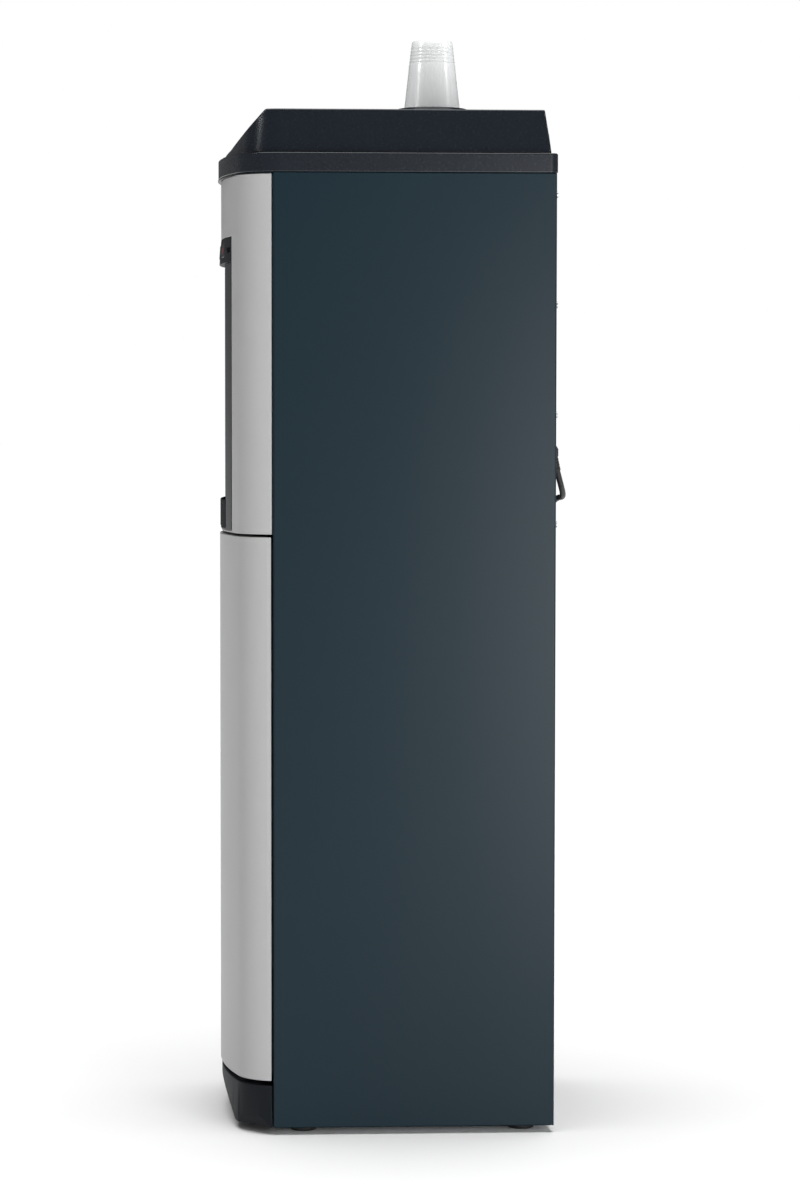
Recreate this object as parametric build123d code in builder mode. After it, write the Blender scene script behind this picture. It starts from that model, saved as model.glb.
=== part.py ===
"""A bottom load water cooler, in millimetres, +Z up, front towards -Y.

The origin is the centre of the cooler's footprint, on the floor.  The mains
lead, its coil and its plug stand outside that footprint.
"""

import os
from math import asin, atan2, cos, degrees, pi, radians, sin, tan

from build123d import *

os.makedirs("parts", exist_ok=True)

# ---------------------------------------------------------------- driving sizes
width = 311.0
panel_depth = 300.5
front_reach = 57.0
rear_reach = 1.5
foot_height = 8.0
kick_top = 53.0
door_bottom_gap = 5.25
door_height = 580.25
panel_gap = 3.0
front_panel_height = 380.0
trim_thickness = 1.5
cover_band = 21.0
cover_rise = 46.5

# sheet and moulding thicknesses
sheet = 1.0
pan_sheet = 1.2
moulding = 2.5
front_flange = 17.0
rear_flange = 12.0
fold_radius = 2.5

# clearances
fit_gap = 0.3
running_gap = 0.05
slide_gap = 0.5
touch_gap = 0.1

# derived reference places
half_width = width / 2
side_inner = half_width - sheet
panel_front = front_reach - (front_reach + panel_depth + rear_reach) / 2
panel_rear = panel_front + panel_depth
door_bottom = kick_top + door_bottom_gap
door_top = door_bottom + door_height
front_panel_bottom = door_top + panel_gap
front_panel_top = front_panel_bottom + front_panel_height
panel_top = front_panel_top + trim_thickness
band_top = panel_top + cover_band
cover_top = band_top + cover_rise


def export(builder, name):
    """Label a finished piece and write it under its own name."""
    builder.part.label = name
    export_step(builder.part, f"parts/{name}.step")


def block(x_span, y_span, z_span, mode=Mode.ADD):
    """A block between two corners, in the part that is being built."""
    centre = tuple((span[0] + span[1]) / 2 for span in (x_span, y_span, z_span))
    with Locations(centre):
        Box(
            x_span[1] - x_span[0],
            y_span[1] - y_span[0],
            z_span[1] - z_span[0],
            mode=mode,
        )


def both(half):
    """The span from -half to half."""
    return (-half, half)


# --------------------------------------------------- plan outline of the front
# A wide bow across the front runs into a corner arc on each side.  The corner
# arcs are centred a little behind the panels' front edge.
corner_radius = 48.0
corner_setback = 8.6
panel_reach = 53.6
corner_x = half_width - corner_radius
corner_y = panel_front + corner_setback


def bow_radius(reach):
    """Radius of the bow that is tangent to both corner arcs."""
    depth = corner_setback + reach
    return (corner_x**2 + depth**2 - corner_radius**2) / (2 * (depth - corner_radius))


def front_outline(reach, back, inset=0):
    """Face between the bowed front, reach ahead of the panels, and y = back."""
    corner = corner_radius - inset
    bow_y = panel_front - reach + bow_radius(reach)
    turn = degrees(atan2(corner_y - bow_y, corner_x))
    end = degrees(asin((back - corner_y) / corner))
    with BuildSketch(mode=Mode.PRIVATE) as outline:
        with BuildLine():
            CenterArc((0, bow_y), bow_radius(reach) - inset, -180 - turn, 2 * turn + 180)
            right = CenterArc((corner_x, corner_y), corner, turn, end - turn)
            left = CenterArc((-corner_x, corner_y), corner, 180 - end, end - turn)
            Line(right @ 1, left @ 0)
        make_face()
    return outline.sketch


def outline_y(x, reach, inset=0):
    """The y of the bow at x, for a given reach."""
    radius = bow_radius(reach)
    return panel_front - reach + radius - ((radius - inset) ** 2 - x**2) ** 0.5


def outline_solid(reach, back, z_span, inset=0, mode=Mode.ADD, taper=0):
    """A solid of the front outline's plan between two heights."""
    plan = Plane.XY.offset(z_span[0]) * front_outline(reach, back, inset)
    extrude(plan, amount=z_span[1] - z_span[0], dir=(0, 0, 1), taper=taper, mode=mode)


# ------------------------------------------------------------------- base, feet
pan_height = 18.0
pan_front = panel_front + sheet
pan_rear = panel_rear - sheet
with BuildPart() as base_pan:
    block(both(side_inner), (pan_front, pan_rear), (foot_height, foot_height + pan_height))
    block(
        both(side_inner - pan_sheet),
        (pan_front + pan_sheet, pan_rear - pan_sheet),
        (foot_height + pan_sheet, foot_height + pan_height),
        mode=Mode.SUBTRACT,
    )
    fillet(base_pan.edges().filter_by(Axis.Z).group_by(SortBy.LENGTH)[-1], fold_radius)
export(base_pan, "base_pan")

foot_radius = 14.0
foot_inset = 32.0
foot_bevel = 2.0
foot_x = half_width - foot_inset
foot_mid_y = (pan_front + pan_rear) / 2
foot_step_y = pan_rear - pan_front - 2 * foot_inset
with BuildPart() as feet:
    with Locations((0, foot_mid_y, foot_height / 2)):
        with GridLocations(2 * foot_x, foot_step_y, 2, 2):
            Cylinder(foot_radius, foot_height)
    chamfer(feet.edges().group_by(Axis.Z)[0], foot_bevel)
export(feet, "feet")

# the moulded floor that the bottle stands on
rear_recess = 23.5
back_wall_rear = panel_rear - rear_recess
back_wall_front = back_wall_rear - sheet
floor_top = kick_top - moulding
tray_half = side_inner - pan_sheet - fit_gap
with BuildPart() as floor_tray:
    block(
        both(tray_half),
        (pan_front + pan_sheet + fit_gap, back_wall_front - fit_gap),
        (foot_height + pan_sheet, floor_top),
    )
    block(
        both(tray_half - moulding),
        (pan_front + pan_sheet + fit_gap + moulding, back_wall_front - fit_gap - moulding),
        (foot_height + pan_sheet, floor_top - moulding),
        mode=Mode.SUBTRACT,
    )
export(floor_tray, "floor_tray")

# --------------------------------------------------------------- side panels
with BuildPart() as right_side_panel:
    with BuildSketch(Plane.XY.offset(foot_height)):
        with BuildLine():
            FilletPolyline(
                (half_width - front_flange, panel_front),
                (half_width, panel_front),
                (half_width, panel_rear),
                (half_width - rear_flange, panel_rear),
                radius=fold_radius,
            )
            Line((half_width - rear_flange, panel_rear), (half_width - rear_flange, pan_rear))
            FilletPolyline(
                (half_width - rear_flange, pan_rear),
                (side_inner, pan_rear),
                (side_inner, pan_front),
                (half_width - front_flange, pan_front),
                radius=fold_radius - sheet,
            )
            Line((half_width - front_flange, pan_front), (half_width - front_flange, panel_front))
        make_face()
    extrude(amount=panel_top - foot_height)

# screws that hold the upper rear panel to the panels' rear flanges
screw_radius = 1.5
screw_head = 3.5
screw_head_height = 1.4
screw_length = 8.0
screw_rows = 4
deck_top = door_top - 8.5
screw_x = half_width - rear_flange / 2
rear_panel_bottom = deck_top
rear_panel_top = panel_top - fit_gap
screw_inset = 22.0
screw_step = (rear_panel_top - rear_panel_bottom - 2 * screw_inset) / (screw_rows - 1)
screw_heights = [rear_panel_bottom + screw_inset + i * screw_step for i in range(screw_rows)]
screw_places = [(x, z) for x in (-screw_x, screw_x) for z in screw_heights]
rear_facing = Plane(origin=(0, 0, 0), x_dir=(1, 0, 0), z_dir=(0, -1, 0))


def rear_holes(places, radius, y_span):
    """Round holes along Y at the given (x, z) places."""
    with BuildSketch(rear_facing.offset(-y_span[1]), mode=Mode.PRIVATE) as holes:
        with Locations(*places):
            Circle(radius)
    extrude(holes.sketch, amount=y_span[1] - y_span[0], mode=Mode.SUBTRACT)


with BuildPart() as drilled_side_panel:
    add(right_side_panel.part)
    rear_holes(
        [place for place in screw_places if place[0] > 0],
        screw_radius + fit_gap,
        (pan_rear - sheet, panel_rear + sheet),
    )
export(drilled_side_panel, "right_side_panel")

with BuildPart() as left_side_panel:
    add(mirror(drilled_side_panel.part, about=Plane.YZ, mode=Mode.PRIVATE))
export(left_side_panel, "left_side_panel")

with BuildPart() as rear_screws:
    with BuildSketch(rear_facing.offset(-panel_rear)):
        with Locations(*screw_places):
            Circle(screw_head)
    extrude(amount=-screw_head_height)
    with BuildSketch(rear_facing.offset(-panel_rear)):
        with Locations(*screw_places):
            Circle(screw_radius)
    extrude(amount=screw_length)
export(rear_screws, "rear_screws")

# ------------------------------------------------- shelf, rear panels, kick plate
shelf_flange = 20.0
cord_x = side_inner - 82.5
hose_x = side_inner - 28.5
hose_y = back_wall_front - 26.0
hose_radius = 5.0
hose_bore = 3.2
pipe_clear = 3.0
hot_x = -(side_inner - 70.5)
hot_y = back_wall_front - 71.0
gas_pipe = 2.4
condenser_y = back_wall_rear + 10.0
condenser_half = side_inner - 19.5
discharge_x = condenser_half - 35.0
drier_x = -(side_inner - 12.5)
rear_panel_rear = pan_rear
rear_panel_front = rear_panel_rear - sheet
with BuildPart() as mid_shelf:
    block(both(side_inner), (pan_front, rear_panel_front), (deck_top - pan_sheet, deck_top))
    fillet(mid_shelf.edges().filter_by(Axis.Z), fold_radius)
    block(
        both(half_width - front_flange - fit_gap),
        (pan_front, pan_front + pan_sheet),
        (deck_top - shelf_flange, deck_top),
    )
    for side in (-1, 1):
        edge = sorted((side * (side_inner - pan_sheet), side * side_inner))
        block(
            edge,
            (pan_front + fold_radius, back_wall_front - fit_gap),
            (deck_top - shelf_flange, deck_top),
        )
    with Locations((hose_x, hose_y, deck_top), (hot_x, hot_y, deck_top)):
        Cylinder(hose_radius + pipe_clear, 4 * pan_sheet, mode=Mode.SUBTRACT)
    with Locations((discharge_x, condenser_y, deck_top), (drier_x, condenser_y, deck_top)):
        Cylinder(gas_pipe + pipe_clear, 4 * pan_sheet, mode=Mode.SUBTRACT)
export(mid_shelf, "mid_shelf")

wall_flange = 10.0
drain_z = deck_top - 24.0
drain_radius = 9.0
with BuildPart() as lower_rear_panel:
    block(
        both(side_inner - pan_sheet - fit_gap),
        (back_wall_front, back_wall_rear),
        (foot_height + pan_sheet, foot_height + pan_height),
    )
    block(
        both(side_inner),
        (back_wall_front, back_wall_rear),
        (foot_height + pan_height, deck_top - pan_sheet),
    )
    for side in (-1, 1):
        edge = sorted((side * (side_inner - sheet), side * side_inner))
        block(
            edge,
            (back_wall_front, back_wall_rear + wall_flange),
            (foot_height + pan_height, deck_top - pan_sheet),
        )
    rear_holes([(hot_x, drain_z)], drain_radius + fit_gap, (back_wall_front, back_wall_rear))
export(lower_rear_panel, "lower_rear_panel")

# upper rear panel: louvred, with holes for the lead and the two switches
gland_z = deck_top + 105.0
gland_hole = 5.0
switch_x = (-(side_inner - 42.5), -(side_inner - 76.5))
switch_z = gland_z
rocker_w = 13.0
rocker_h = 21.0
bezel_w = 21.0
bezel_h = 30.0
switch_body_w = 17.0
switch_body_h = 26.0
vent_w = 34.0
vent_h = 4.0
vent_pitch = 9.0
vent_rows = 11
vent_columns = 5
vent_column_pitch = 46.0
vent_z = deck_top + 200.0
with BuildPart() as upper_rear_panel:
    block(both(side_inner - fold_radius), (rear_panel_front, rear_panel_rear), (deck_top, rear_panel_top))
    with BuildSketch(rear_facing.offset(-rear_panel_rear)):
        with Locations((0, vent_z)):
            with GridLocations(vent_column_pitch, vent_pitch, vent_columns, vent_rows):
                SlotOverall(vent_w, vent_h)
        with Locations(*[(x, switch_z) for x in switch_x]):
            Rectangle(switch_body_w + 2 * fit_gap, switch_body_h + 2 * fit_gap)
        with Locations((cord_x, gland_z)):
            Circle(gland_hole + fit_gap)
        with Locations(*screw_places):
            Circle(screw_radius + fit_gap)
    extrude(amount=sheet, mode=Mode.SUBTRACT)
export(upper_rear_panel, "upper_rear_panel")

# kick plate: the front's plan, leaning back to the floor on three flat faces
kick_lean_top = kick_top - 12.0
kick_setback = 14.0
kick_corner_in = 6.6
kick_tongue = 24.0
kick_wall = 3.0
kick_reach = 54.0
corner_facet = 46.0
front_back_gap = 1.2


def lean_cut(inset, low):
    """Take off what stands ahead of the faces that lean back to the floor."""
    facing = radians(corner_facet)
    corner_out = corner_x * sin(facing) - corner_setback * cos(facing) + corner_radius
    corner_out += kick_setback - kick_corner_in - inset
    for angle, start in ((0, kick_reach - inset), (facing, corner_out), (-facing, corner_out)):
        plane = Plane(
            origin=(0, panel_front, 0),
            x_dir=(sin(angle), -cos(angle), 0),
            z_dir=(-cos(angle), -sin(angle), 0),
        )
        with BuildSketch(plane, mode=Mode.PRIVATE) as wedge:
            with BuildLine():
                Polyline(
                    (start - kick_setback, low),
                    (start, kick_lean_top),
                    (start + width, kick_lean_top),
                    (start + width, low - kick_setback),
                    (start - kick_setback, low - kick_setback),
                    close=True,
                )
            make_face()
        extrude(wedge.sketch, amount=width, both=True, mode=Mode.SUBTRACT)


kick_back = panel_front - front_back_gap
with BuildPart() as kick_core:
    outline_solid(kick_reach, kick_back, (foot_height, kick_top - kick_wall), kick_wall)
    lean_cut(kick_wall, foot_height)

hinge_setback = 7.0
hinge_side = 8.5
hinge_x = -(half_width - hinge_side)
door_back_gap = 2.0
door_back = panel_front - door_back_gap
hinge_y = door_back - hinge_setback
hinge_pin_radius = 2.5
hinge_pin_reach = 12.0
hinge_plate = 2.0
hinge_plate_length = 42.0
hinge_plate_width = 9.0
with BuildPart() as kick_plate:
    outline_solid(kick_reach, kick_back, (foot_height, kick_top))
    lean_cut(0, foot_height)
    add(kick_core.part, mode=Mode.SUBTRACT)
    block(
        both(half_width - front_flange - fit_gap),
        (kick_back, panel_front + kick_tongue),
        (floor_top, kick_top),
    )
export(kick_plate, "kick_plate")

# ------------------------------------------------------- front panel and alcove
alcove_frame_half = 98.0
alcove_half = 66.0
alcove_floor = front_panel_bottom + 4.5
tray_height = 30.0
fascia_height = 27.0
fascia_top = front_panel_bottom + 316.5
fascia_bottom = fascia_top - fascia_height
alcove_back = panel_front + 62.0
frame_proud = 1.0
frame_depth = 5.0
web = 2.0
front_wall = 2.5
upper_back = panel_front - front_back_gap
frame_bottom = front_panel_bottom + web
return_half = half_width - rear_flange
return_depth = 21.0
with BuildPart() as front_panel:
    outline_solid(panel_reach, upper_back, (front_panel_bottom, front_panel_top))
    outline_solid(
        panel_reach,
        upper_back,
        (front_panel_bottom + web, front_panel_top - web),
        front_wall,
        mode=Mode.SUBTRACT,
    )
    block(
        both(alcove_frame_half + fit_gap),
        (panel_front - front_reach, panel_front - front_wall),
        (frame_bottom, fascia_top + fit_gap),
        mode=Mode.SUBTRACT,
    )
    for side in (-1, 1):
        rib = sorted((side * return_half, side * (return_half - front_wall)))
        block(rib, (panel_front - return_depth, panel_front), (front_panel_bottom, front_panel_top))
export(front_panel, "front_panel")

# the alcove: a bowed frame around a tub that reaches back over the deck
frame_reach = panel_reach + frame_proud
fascia_back = panel_front - 40.0
alcove_wall = 2.5
nozzle_x = (-38.0, 0.0, 38.0)
nozzle_y = panel_front + 2.0
nozzle_stem = 6.0
with BuildPart() as dispensing_alcove:
    outline_solid(frame_reach, panel_front - corner_radius / 2, (frame_bottom, fascia_bottom))
    outline_solid(
        frame_reach,
        panel_front - corner_radius / 2,
        (frame_bottom, fascia_bottom),
        frame_depth,
        mode=Mode.SUBTRACT,
    )
    block(
        both(alcove_frame_half),
        (panel_front - front_reach, fascia_back + frame_depth),
        (frame_bottom, fascia_bottom),
        mode=Mode.INTERSECT,
    )
    block(
        both(alcove_half + alcove_wall),
        (outline_y(alcove_half, frame_reach) + frame_proud, alcove_back + alcove_wall),
        (frame_bottom, fascia_bottom),
    )
    block(
        both(alcove_half + alcove_wall),
        (fascia_back, alcove_back + alcove_wall),
        (fascia_bottom, fascia_bottom + alcove_wall),
    )
    block(
        both(alcove_half),
        (panel_front - front_reach, alcove_back),
        (alcove_floor, fascia_bottom),
        mode=Mode.SUBTRACT,
    )
    with Locations(*[(x, nozzle_y, fascia_bottom) for x in nozzle_x]):
        Cylinder(nozzle_stem + fit_gap, 4 * alcove_wall, mode=Mode.SUBTRACT)
export(dispensing_alcove, "dispensing_alcove")

# control fascia: a visor that leans forward towards its lower edge
fascia_lean = 2.0
fascia_reach = panel_reach + fascia_lean
fascia_taper = degrees(atan2(fascia_lean, fascia_height))
button_x = (-50.0, 0.0, 50.0)
button_names = ("cold_button", "room_button", "hot_button")
button_w = 28.0
button_h = 15.0
button_rim = 2.0
button_proud = 0.6
button_travel = 3.0
control_z = fascia_bottom + fascia_height / 2
lock_x = 80.0
lock_w = 7.6
lock_h = 5.0
lock_travel = 6.0
lock_rim = 4.0
lock_depth = 1.5


def front_face(depth):
    """A plane facing the front, at a depth behind the panels' front edge."""
    return rear_facing.offset(-(panel_front + depth))


with BuildPart() as control_fascia:
    outline_solid(
        fascia_reach,
        panel_front - corner_radius / 2,
        (fascia_bottom, fascia_top),
        taper=fascia_taper,
    )
    block(
        both(alcove_frame_half),
        (panel_front - front_reach, fascia_back),
        (fascia_bottom, fascia_top),
        mode=Mode.INTERSECT,
    )
    with BuildSketch(front_face(0)):
        with Locations(*[(x, control_z) for x in button_x]):
            SlotOverall(button_w + 2 * fit_gap, button_h + 2 * fit_gap)
        with Locations((lock_x + lock_travel / 2, control_z)):
            Rectangle(lock_w + lock_travel + 2 * fit_gap, lock_h + 2 * fit_gap)
    extrude(amount=front_reach, mode=Mode.SUBTRACT)
export(control_fascia, "control_fascia")

for x, name in zip(button_x, button_names):
    with BuildPart() as button:
        outline_solid(
            fascia_reach + button_proud,
            panel_front - corner_radius / 2,
            (fascia_bottom, fascia_top),
            taper=fascia_taper,
        )
        with BuildSketch(front_face(0)):
            with Locations((x, control_z)):
                SlotOverall(button_w, button_h)
        extrude(amount=front_reach + fascia_lean, mode=Mode.INTERSECT)
        block(
            (x - button_w, x + button_w),
            (panel_front - front_reach - fascia_lean, fascia_back + fit_gap),
            (fascia_bottom, fascia_top),
            mode=Mode.INTERSECT,
        )
        with BuildSketch(rear_facing.offset(-(fascia_back + fit_gap))):
            with Locations((x, control_z)):
                SlotOverall(button_w + 2 * button_rim, button_h + 2 * button_rim)
        extrude(amount=-button_rim)
    export(button, name)

with BuildPart() as child_lock:
    block(
        (lock_x - lock_w / 2, lock_x + lock_w / 2),
        (outline_y(lock_x, fascia_reach) - button_proud, fascia_back + fit_gap),
        (control_z - lock_h / 2, control_z + lock_h / 2),
    )
    block(
        (lock_x - lock_w / 2 - lock_rim, lock_x + lock_w / 2 + lock_rim),
        (fascia_back + fit_gap, fascia_back + fit_gap + lock_depth),
        (control_z - lock_h / 2 - button_rim, control_z + lock_h / 2 + button_rim),
    )
export(child_lock, "child_lock")

# control board, standing on the tub behind the buttons
board = 1.6
board_half = 64.0
board_height = 52.0
board_bottom = fascia_bottom + alcove_wall
switch_size = 6.0
switch_front = fascia_back + fit_gap + button_rim + button_travel + touch_gap
board_front = switch_front + switch_size / 2
relay_w = 16.0
relay_d = 15.0
relay_h = 20.0
relay_x = (-42.0, -20.0, 20.0)
relay_bottom = board_bottom + 26.0
with BuildPart() as control_board:
    block(both(board_half), (board_front, board_front + board), (board_bottom, board_bottom + board_height))
    with Locations(*[(x, (switch_front + board_front) / 2, control_z) for x in button_x]):
        Box(switch_size, board_front - switch_front, switch_size)
    for x in relay_x:
        block(
            (x - relay_w / 2, x + relay_w / 2),
            (board_front + board, board_front + board + relay_d),
            (relay_bottom, relay_bottom + relay_h),
        )
export(control_board, "control_board")

# three nozzles through the alcove's ceiling
nozzle_flange = 10.0
nozzle_flange_height = 5.0
nozzle_tip = 5.5
nozzle_length = 24.0
nozzle_bore = 3.5
nozzle_top = fascia_bottom + 16.0
with BuildPart() as nozzles:
    for x in nozzle_x:
        with BuildSketch(Plane.XZ.offset(-nozzle_y)) as nozzle_side:
            with BuildLine():
                Polyline(
                    (x + nozzle_bore, fascia_bottom - nozzle_length),
                    (x + nozzle_tip, fascia_bottom - nozzle_length),
                    (x + nozzle_stem, fascia_bottom - nozzle_flange_height),
                    (x + nozzle_flange, fascia_bottom - nozzle_flange_height),
                    (x + nozzle_flange, fascia_bottom),
                    (x + nozzle_stem, fascia_bottom),
                    (x + nozzle_stem, nozzle_top),
                    (x + nozzle_bore, nozzle_top),
                    close=True,
                )
            make_face()
        revolve(axis=Axis((x, nozzle_y, 0), (0, 0, 1)))
export(nozzles, "nozzles")

# drip tray and its grille
tray_side_gap = 0.6
tray_half_width = alcove_half - tray_side_gap
tray_reach = frame_reach + 0.4
tray_wall = 2.0
tray_back = alcove_back - 1.0
tray_bottom = alcove_floor + touch_gap
tray_top = tray_bottom + tray_height
grille = 4.0
grille_drop = 1.0
grille_bottom = tray_top - grille - grille_drop + 1.5
basin_front = outline_y(tray_half_width, tray_reach, tray_wall)
with BuildPart() as drip_tray:
    outline_solid(tray_reach, panel_front - corner_radius / 2, (tray_bottom, tray_top))
    outline_solid(
        tray_reach,
        panel_front - corner_radius / 2,
        (tray_bottom + tray_wall, tray_top),
        tray_wall,
        mode=Mode.SUBTRACT,
    )
    block(
        both(tray_half_width),
        (panel_front - front_reach, basin_front),
        (tray_bottom, tray_top),
        mode=Mode.INTERSECT,
    )
    block(both(tray_half_width), (basin_front - tray_wall, tray_back), (tray_bottom, grille_bottom))
    block(
        both(tray_half_width - tray_wall),
        (basin_front - tray_wall, tray_back - tray_wall),
        (tray_bottom + tray_wall, grille_bottom),
        mode=Mode.SUBTRACT,
    )
export(drip_tray, "drip_tray")

grille_slot = 5.0
grille_pitch = 9.0
grille_slots = 13
grille_border = 7.0
grille_front = basin_front
with BuildPart() as drip_grille:
    block(
        both(tray_half_width - fit_gap),
        (grille_front, tray_back),
        (grille_bottom, grille_bottom + grille),
    )
    with BuildSketch(Plane.XY.offset(grille_bottom)):
        with Locations((0, (grille_front + tray_back) / 2)):
            with GridLocations(grille_pitch, 1, grille_slots, 1):
                SlotOverall(tray_back - grille_front - 2 * grille_border, grille_slot, rotation=90)
    extrude(amount=grille, mode=Mode.SUBTRACT)
export(drip_grille, "drip_grille")

# ------------------------------------------------------------------------ door
door_reach = 55.5
door_skin_sheet = 1.2
cap_height = 14.0
liner_wall = 2.5
liner_recess = 11.0
liner_recess_half = 112.0
liner_recess_margin = 42.0
magnet_t = 1.6
magnet_w = 5.0
magnet_length = 50.0
gasket_t = 1.7
gasket_w = 4.5
gasket_half = half_width - front_flange + gasket_w + 1.0
gasket_margin = 5.0
door_z = (door_bottom, door_top)

# what stands outside the arc that the hinge corner swings about its pin
with BuildPart() as hinge_corner:
    block(
        (-half_width, hinge_x),
        (hinge_y, door_back + fit_gap),
        (door_bottom - hinge_plate, door_top + hinge_plate),
    )
    with Locations((hinge_x, hinge_y, (door_bottom + door_top) / 2)):
        Cylinder(hinge_setback, 2 * door_height, mode=Mode.SUBTRACT)

with BuildPart() as door_skin:
    outline_solid(door_reach, door_back, door_z)
    outline_solid(door_reach, door_back, door_z, door_skin_sheet, mode=Mode.SUBTRACT)
    add(hinge_corner.part, mode=Mode.SUBTRACT)
export(door_skin, "door_skin")

liner_front = door_back - liner_wall
hinge_bore = hinge_pin_radius + running_gap
with BuildPart() as door_end_caps:
    for z_span in ((door_bottom, door_bottom + cap_height), (door_top - cap_height, door_top)):
        outline_solid(door_reach, liner_front, z_span, door_skin_sheet)
    add(hinge_corner.part, mode=Mode.SUBTRACT)
    with Locations((hinge_x, hinge_y, (door_bottom + door_top) / 2)):
        Cylinder(hinge_bore, door_height, mode=Mode.SUBTRACT)
export(door_end_caps, "door_end_caps")

with BuildPart() as door_liner:
    outline_solid(door_reach, door_back, door_z, door_skin_sheet)
    block(both(half_width), (liner_front, door_back), door_z, mode=Mode.INTERSECT)
    block(
        both(liner_recess_half),
        (door_back - liner_recess, door_back),
        (door_bottom + liner_recess_margin, door_top - liner_recess_margin),
    )
    block(
        both(liner_recess_half - liner_wall),
        (door_back - liner_recess + liner_wall, door_back),
        (door_bottom + liner_recess_margin + liner_wall, door_top - liner_recess_margin - liner_wall),
        mode=Mode.SUBTRACT,
    )
    add(hinge_corner.part, mode=Mode.SUBTRACT)
export(door_liner, "door_liner")

with BuildPart() as door_gasket:
    block(
        both(gasket_half),
        (door_back, door_back + gasket_t),
        (door_bottom + gasket_margin, door_top - gasket_margin),
    )
    block(
        both(gasket_half - gasket_w),
        (door_back, door_back + gasket_t),
        (door_bottom + gasket_margin + gasket_w, door_top - gasket_margin - gasket_w),
        mode=Mode.SUBTRACT,
    )
export(door_gasket, "door_gasket")

magnet_x = gasket_half + fit_gap + magnet_w / 2
magnet_heights = (door_bottom + door_height / 4, door_top - door_height / 4)
with BuildPart() as door_magnets:
    with Locations(*[(magnet_x, door_back + magnet_t / 2, z) for z in magnet_heights]):
        Box(magnet_w, magnet_t, magnet_length)
export(door_magnets, "door_magnets")

# hinge brackets: a plate on the kick plate and one under the front panel
bracket_rear = panel_front - front_back_gap
with BuildPart() as hinge_brackets:
    for plate_z, pin_z in (
        ((kick_top, kick_top + hinge_plate), (kick_top, kick_top + hinge_pin_reach + hinge_plate)),
        (
            (front_panel_bottom - hinge_plate, front_panel_bottom),
            (front_panel_bottom - hinge_plate - hinge_pin_reach, front_panel_bottom),
        ),
    ):
        block(
            (hinge_x, hinge_x + hinge_plate_length),
            (hinge_y - hinge_setback / 2, bracket_rear),
            plate_z,
        )
        with Locations((hinge_x, hinge_y, (plate_z[0] + plate_z[1]) / 2)):
            Cylinder(hinge_pin_radius + 1, hinge_plate)
        with Locations((hinge_x, hinge_y, (pin_z[0] + pin_z[1]) / 2)):
            Cylinder(hinge_pin_radius, pin_z[1] - pin_z[0])
export(hinge_brackets, "hinge_brackets")

# ------------------------------------------------------------------- top cover
trim_reach = front_reach
trim_width = 14.0
with BuildPart() as cover_trim:
    outline_solid(trim_reach, upper_back, (front_panel_top, panel_top))
    outline_solid(
        trim_reach,
        upper_back,
        (front_panel_top, panel_top),
        trim_width,
        mode=Mode.SUBTRACT,
    )
export(cover_trim, "cover_trim")

band_reach = 56.5
band_rear = panel_rear + rear_reach
cover_wall = 2.5
cover_inset = 3.5
cover_corner = 9.0
cover_draft = 8.5
shoulder_y = panel_front - 43.0
shoulder_z = band_top + 8.0
slope_top_y = panel_front - 7.0
top_round = 4.0
cup_axis_y = panel_front + 177.5
well_radius = 38.0


def cover_plan(inset):
    """The cover's plan: the front's outline run back to rounded rear corners."""
    with BuildSketch(mode=Mode.PRIVATE) as plan:
        add(front_outline(band_reach, corner_y, inset))
        rear_half = half_width - inset
        with Locations((0, (corner_y + band_rear - inset) / 2)):
            Rectangle(2 * rear_half, band_rear - inset - corner_y)
        corners = plan.vertices().group_by(Axis.Y)[-1]
        fillet(corners, cover_corner - min(inset, cover_wall))
    return plan.sketch


def cover_shape(inset):
    """The cover's outer shape, drawn in by inset on every side."""
    low = panel_top
    extrude(Plane.XY.offset(low) * cover_plan(inset), amount=cover_band, dir=(0, 0, 1))
    dome = Plane.XY.offset(low) * cover_plan(inset + cover_inset)
    rise = cover_top - inset - low
    extrude(dome, amount=rise, dir=(0, 0, 1), taper=cover_draft)
    with BuildSketch(Plane.YZ, mode=Mode.PRIVATE) as slope:
        with BuildLine():
            Polyline(
                (panel_front - 2 * front_reach, band_top - inset),
                (panel_front - band_reach + inset, band_top - inset),
                (shoulder_y + inset, shoulder_z - inset),
                (slope_top_y + inset, cover_top - inset),
                (slope_top_y + inset, cover_top + cover_band),
                (panel_front - 2 * front_reach, cover_top + cover_band),
                close=True,
            )
        make_face()
    extrude(slope.sketch, amount=width, both=True, mode=Mode.SUBTRACT)


with BuildPart() as cover_hollow:
    cover_shape(cover_wall)

with BuildPart() as top_cover:
    cover_shape(0)
    add(cover_hollow.part, mode=Mode.SUBTRACT)
    with Locations((0, cup_axis_y, cover_top)):
        Cylinder(well_radius + fit_gap, 4 * cover_wall, mode=Mode.SUBTRACT)
export(top_cover, "top_cover")

# ---------------------------------------------------- cup well and drinking cups
cup_base = 44.0
cup_taper = 0.115
cup_height = 95.0
cup_wall = 0.22
cup_pitch = 3.7
cup_count = 7
cup_rim = 1.3
cup_foot = 3.0
collar_rise = 11.5
collar_radius = 49.0
well_wall = 2.0
collar_lip = 36.0
well_depth = 32.2
well_floor = cover_top - well_depth
cup_top = well_floor + cup_height + (cup_count - 1) * cup_pitch
with BuildPart() as cup_well:
    with BuildSketch(Plane.XZ.offset(-cup_axis_y)):
        with BuildLine():
            Polyline(
                (0, well_floor - well_wall),
                (well_radius, well_floor - well_wall),
                (well_radius, cover_top),
                (collar_radius, cover_top),
                (well_radius, cover_top + collar_rise),
                (collar_lip, cover_top + collar_rise),
                (collar_lip, well_floor),
                (0, well_floor),
                close=True,
            )
        make_face()
    revolve(axis=Axis((0, cup_axis_y, 0), (0, 0, 1)))
export(cup_well, "cup_well")


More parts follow.
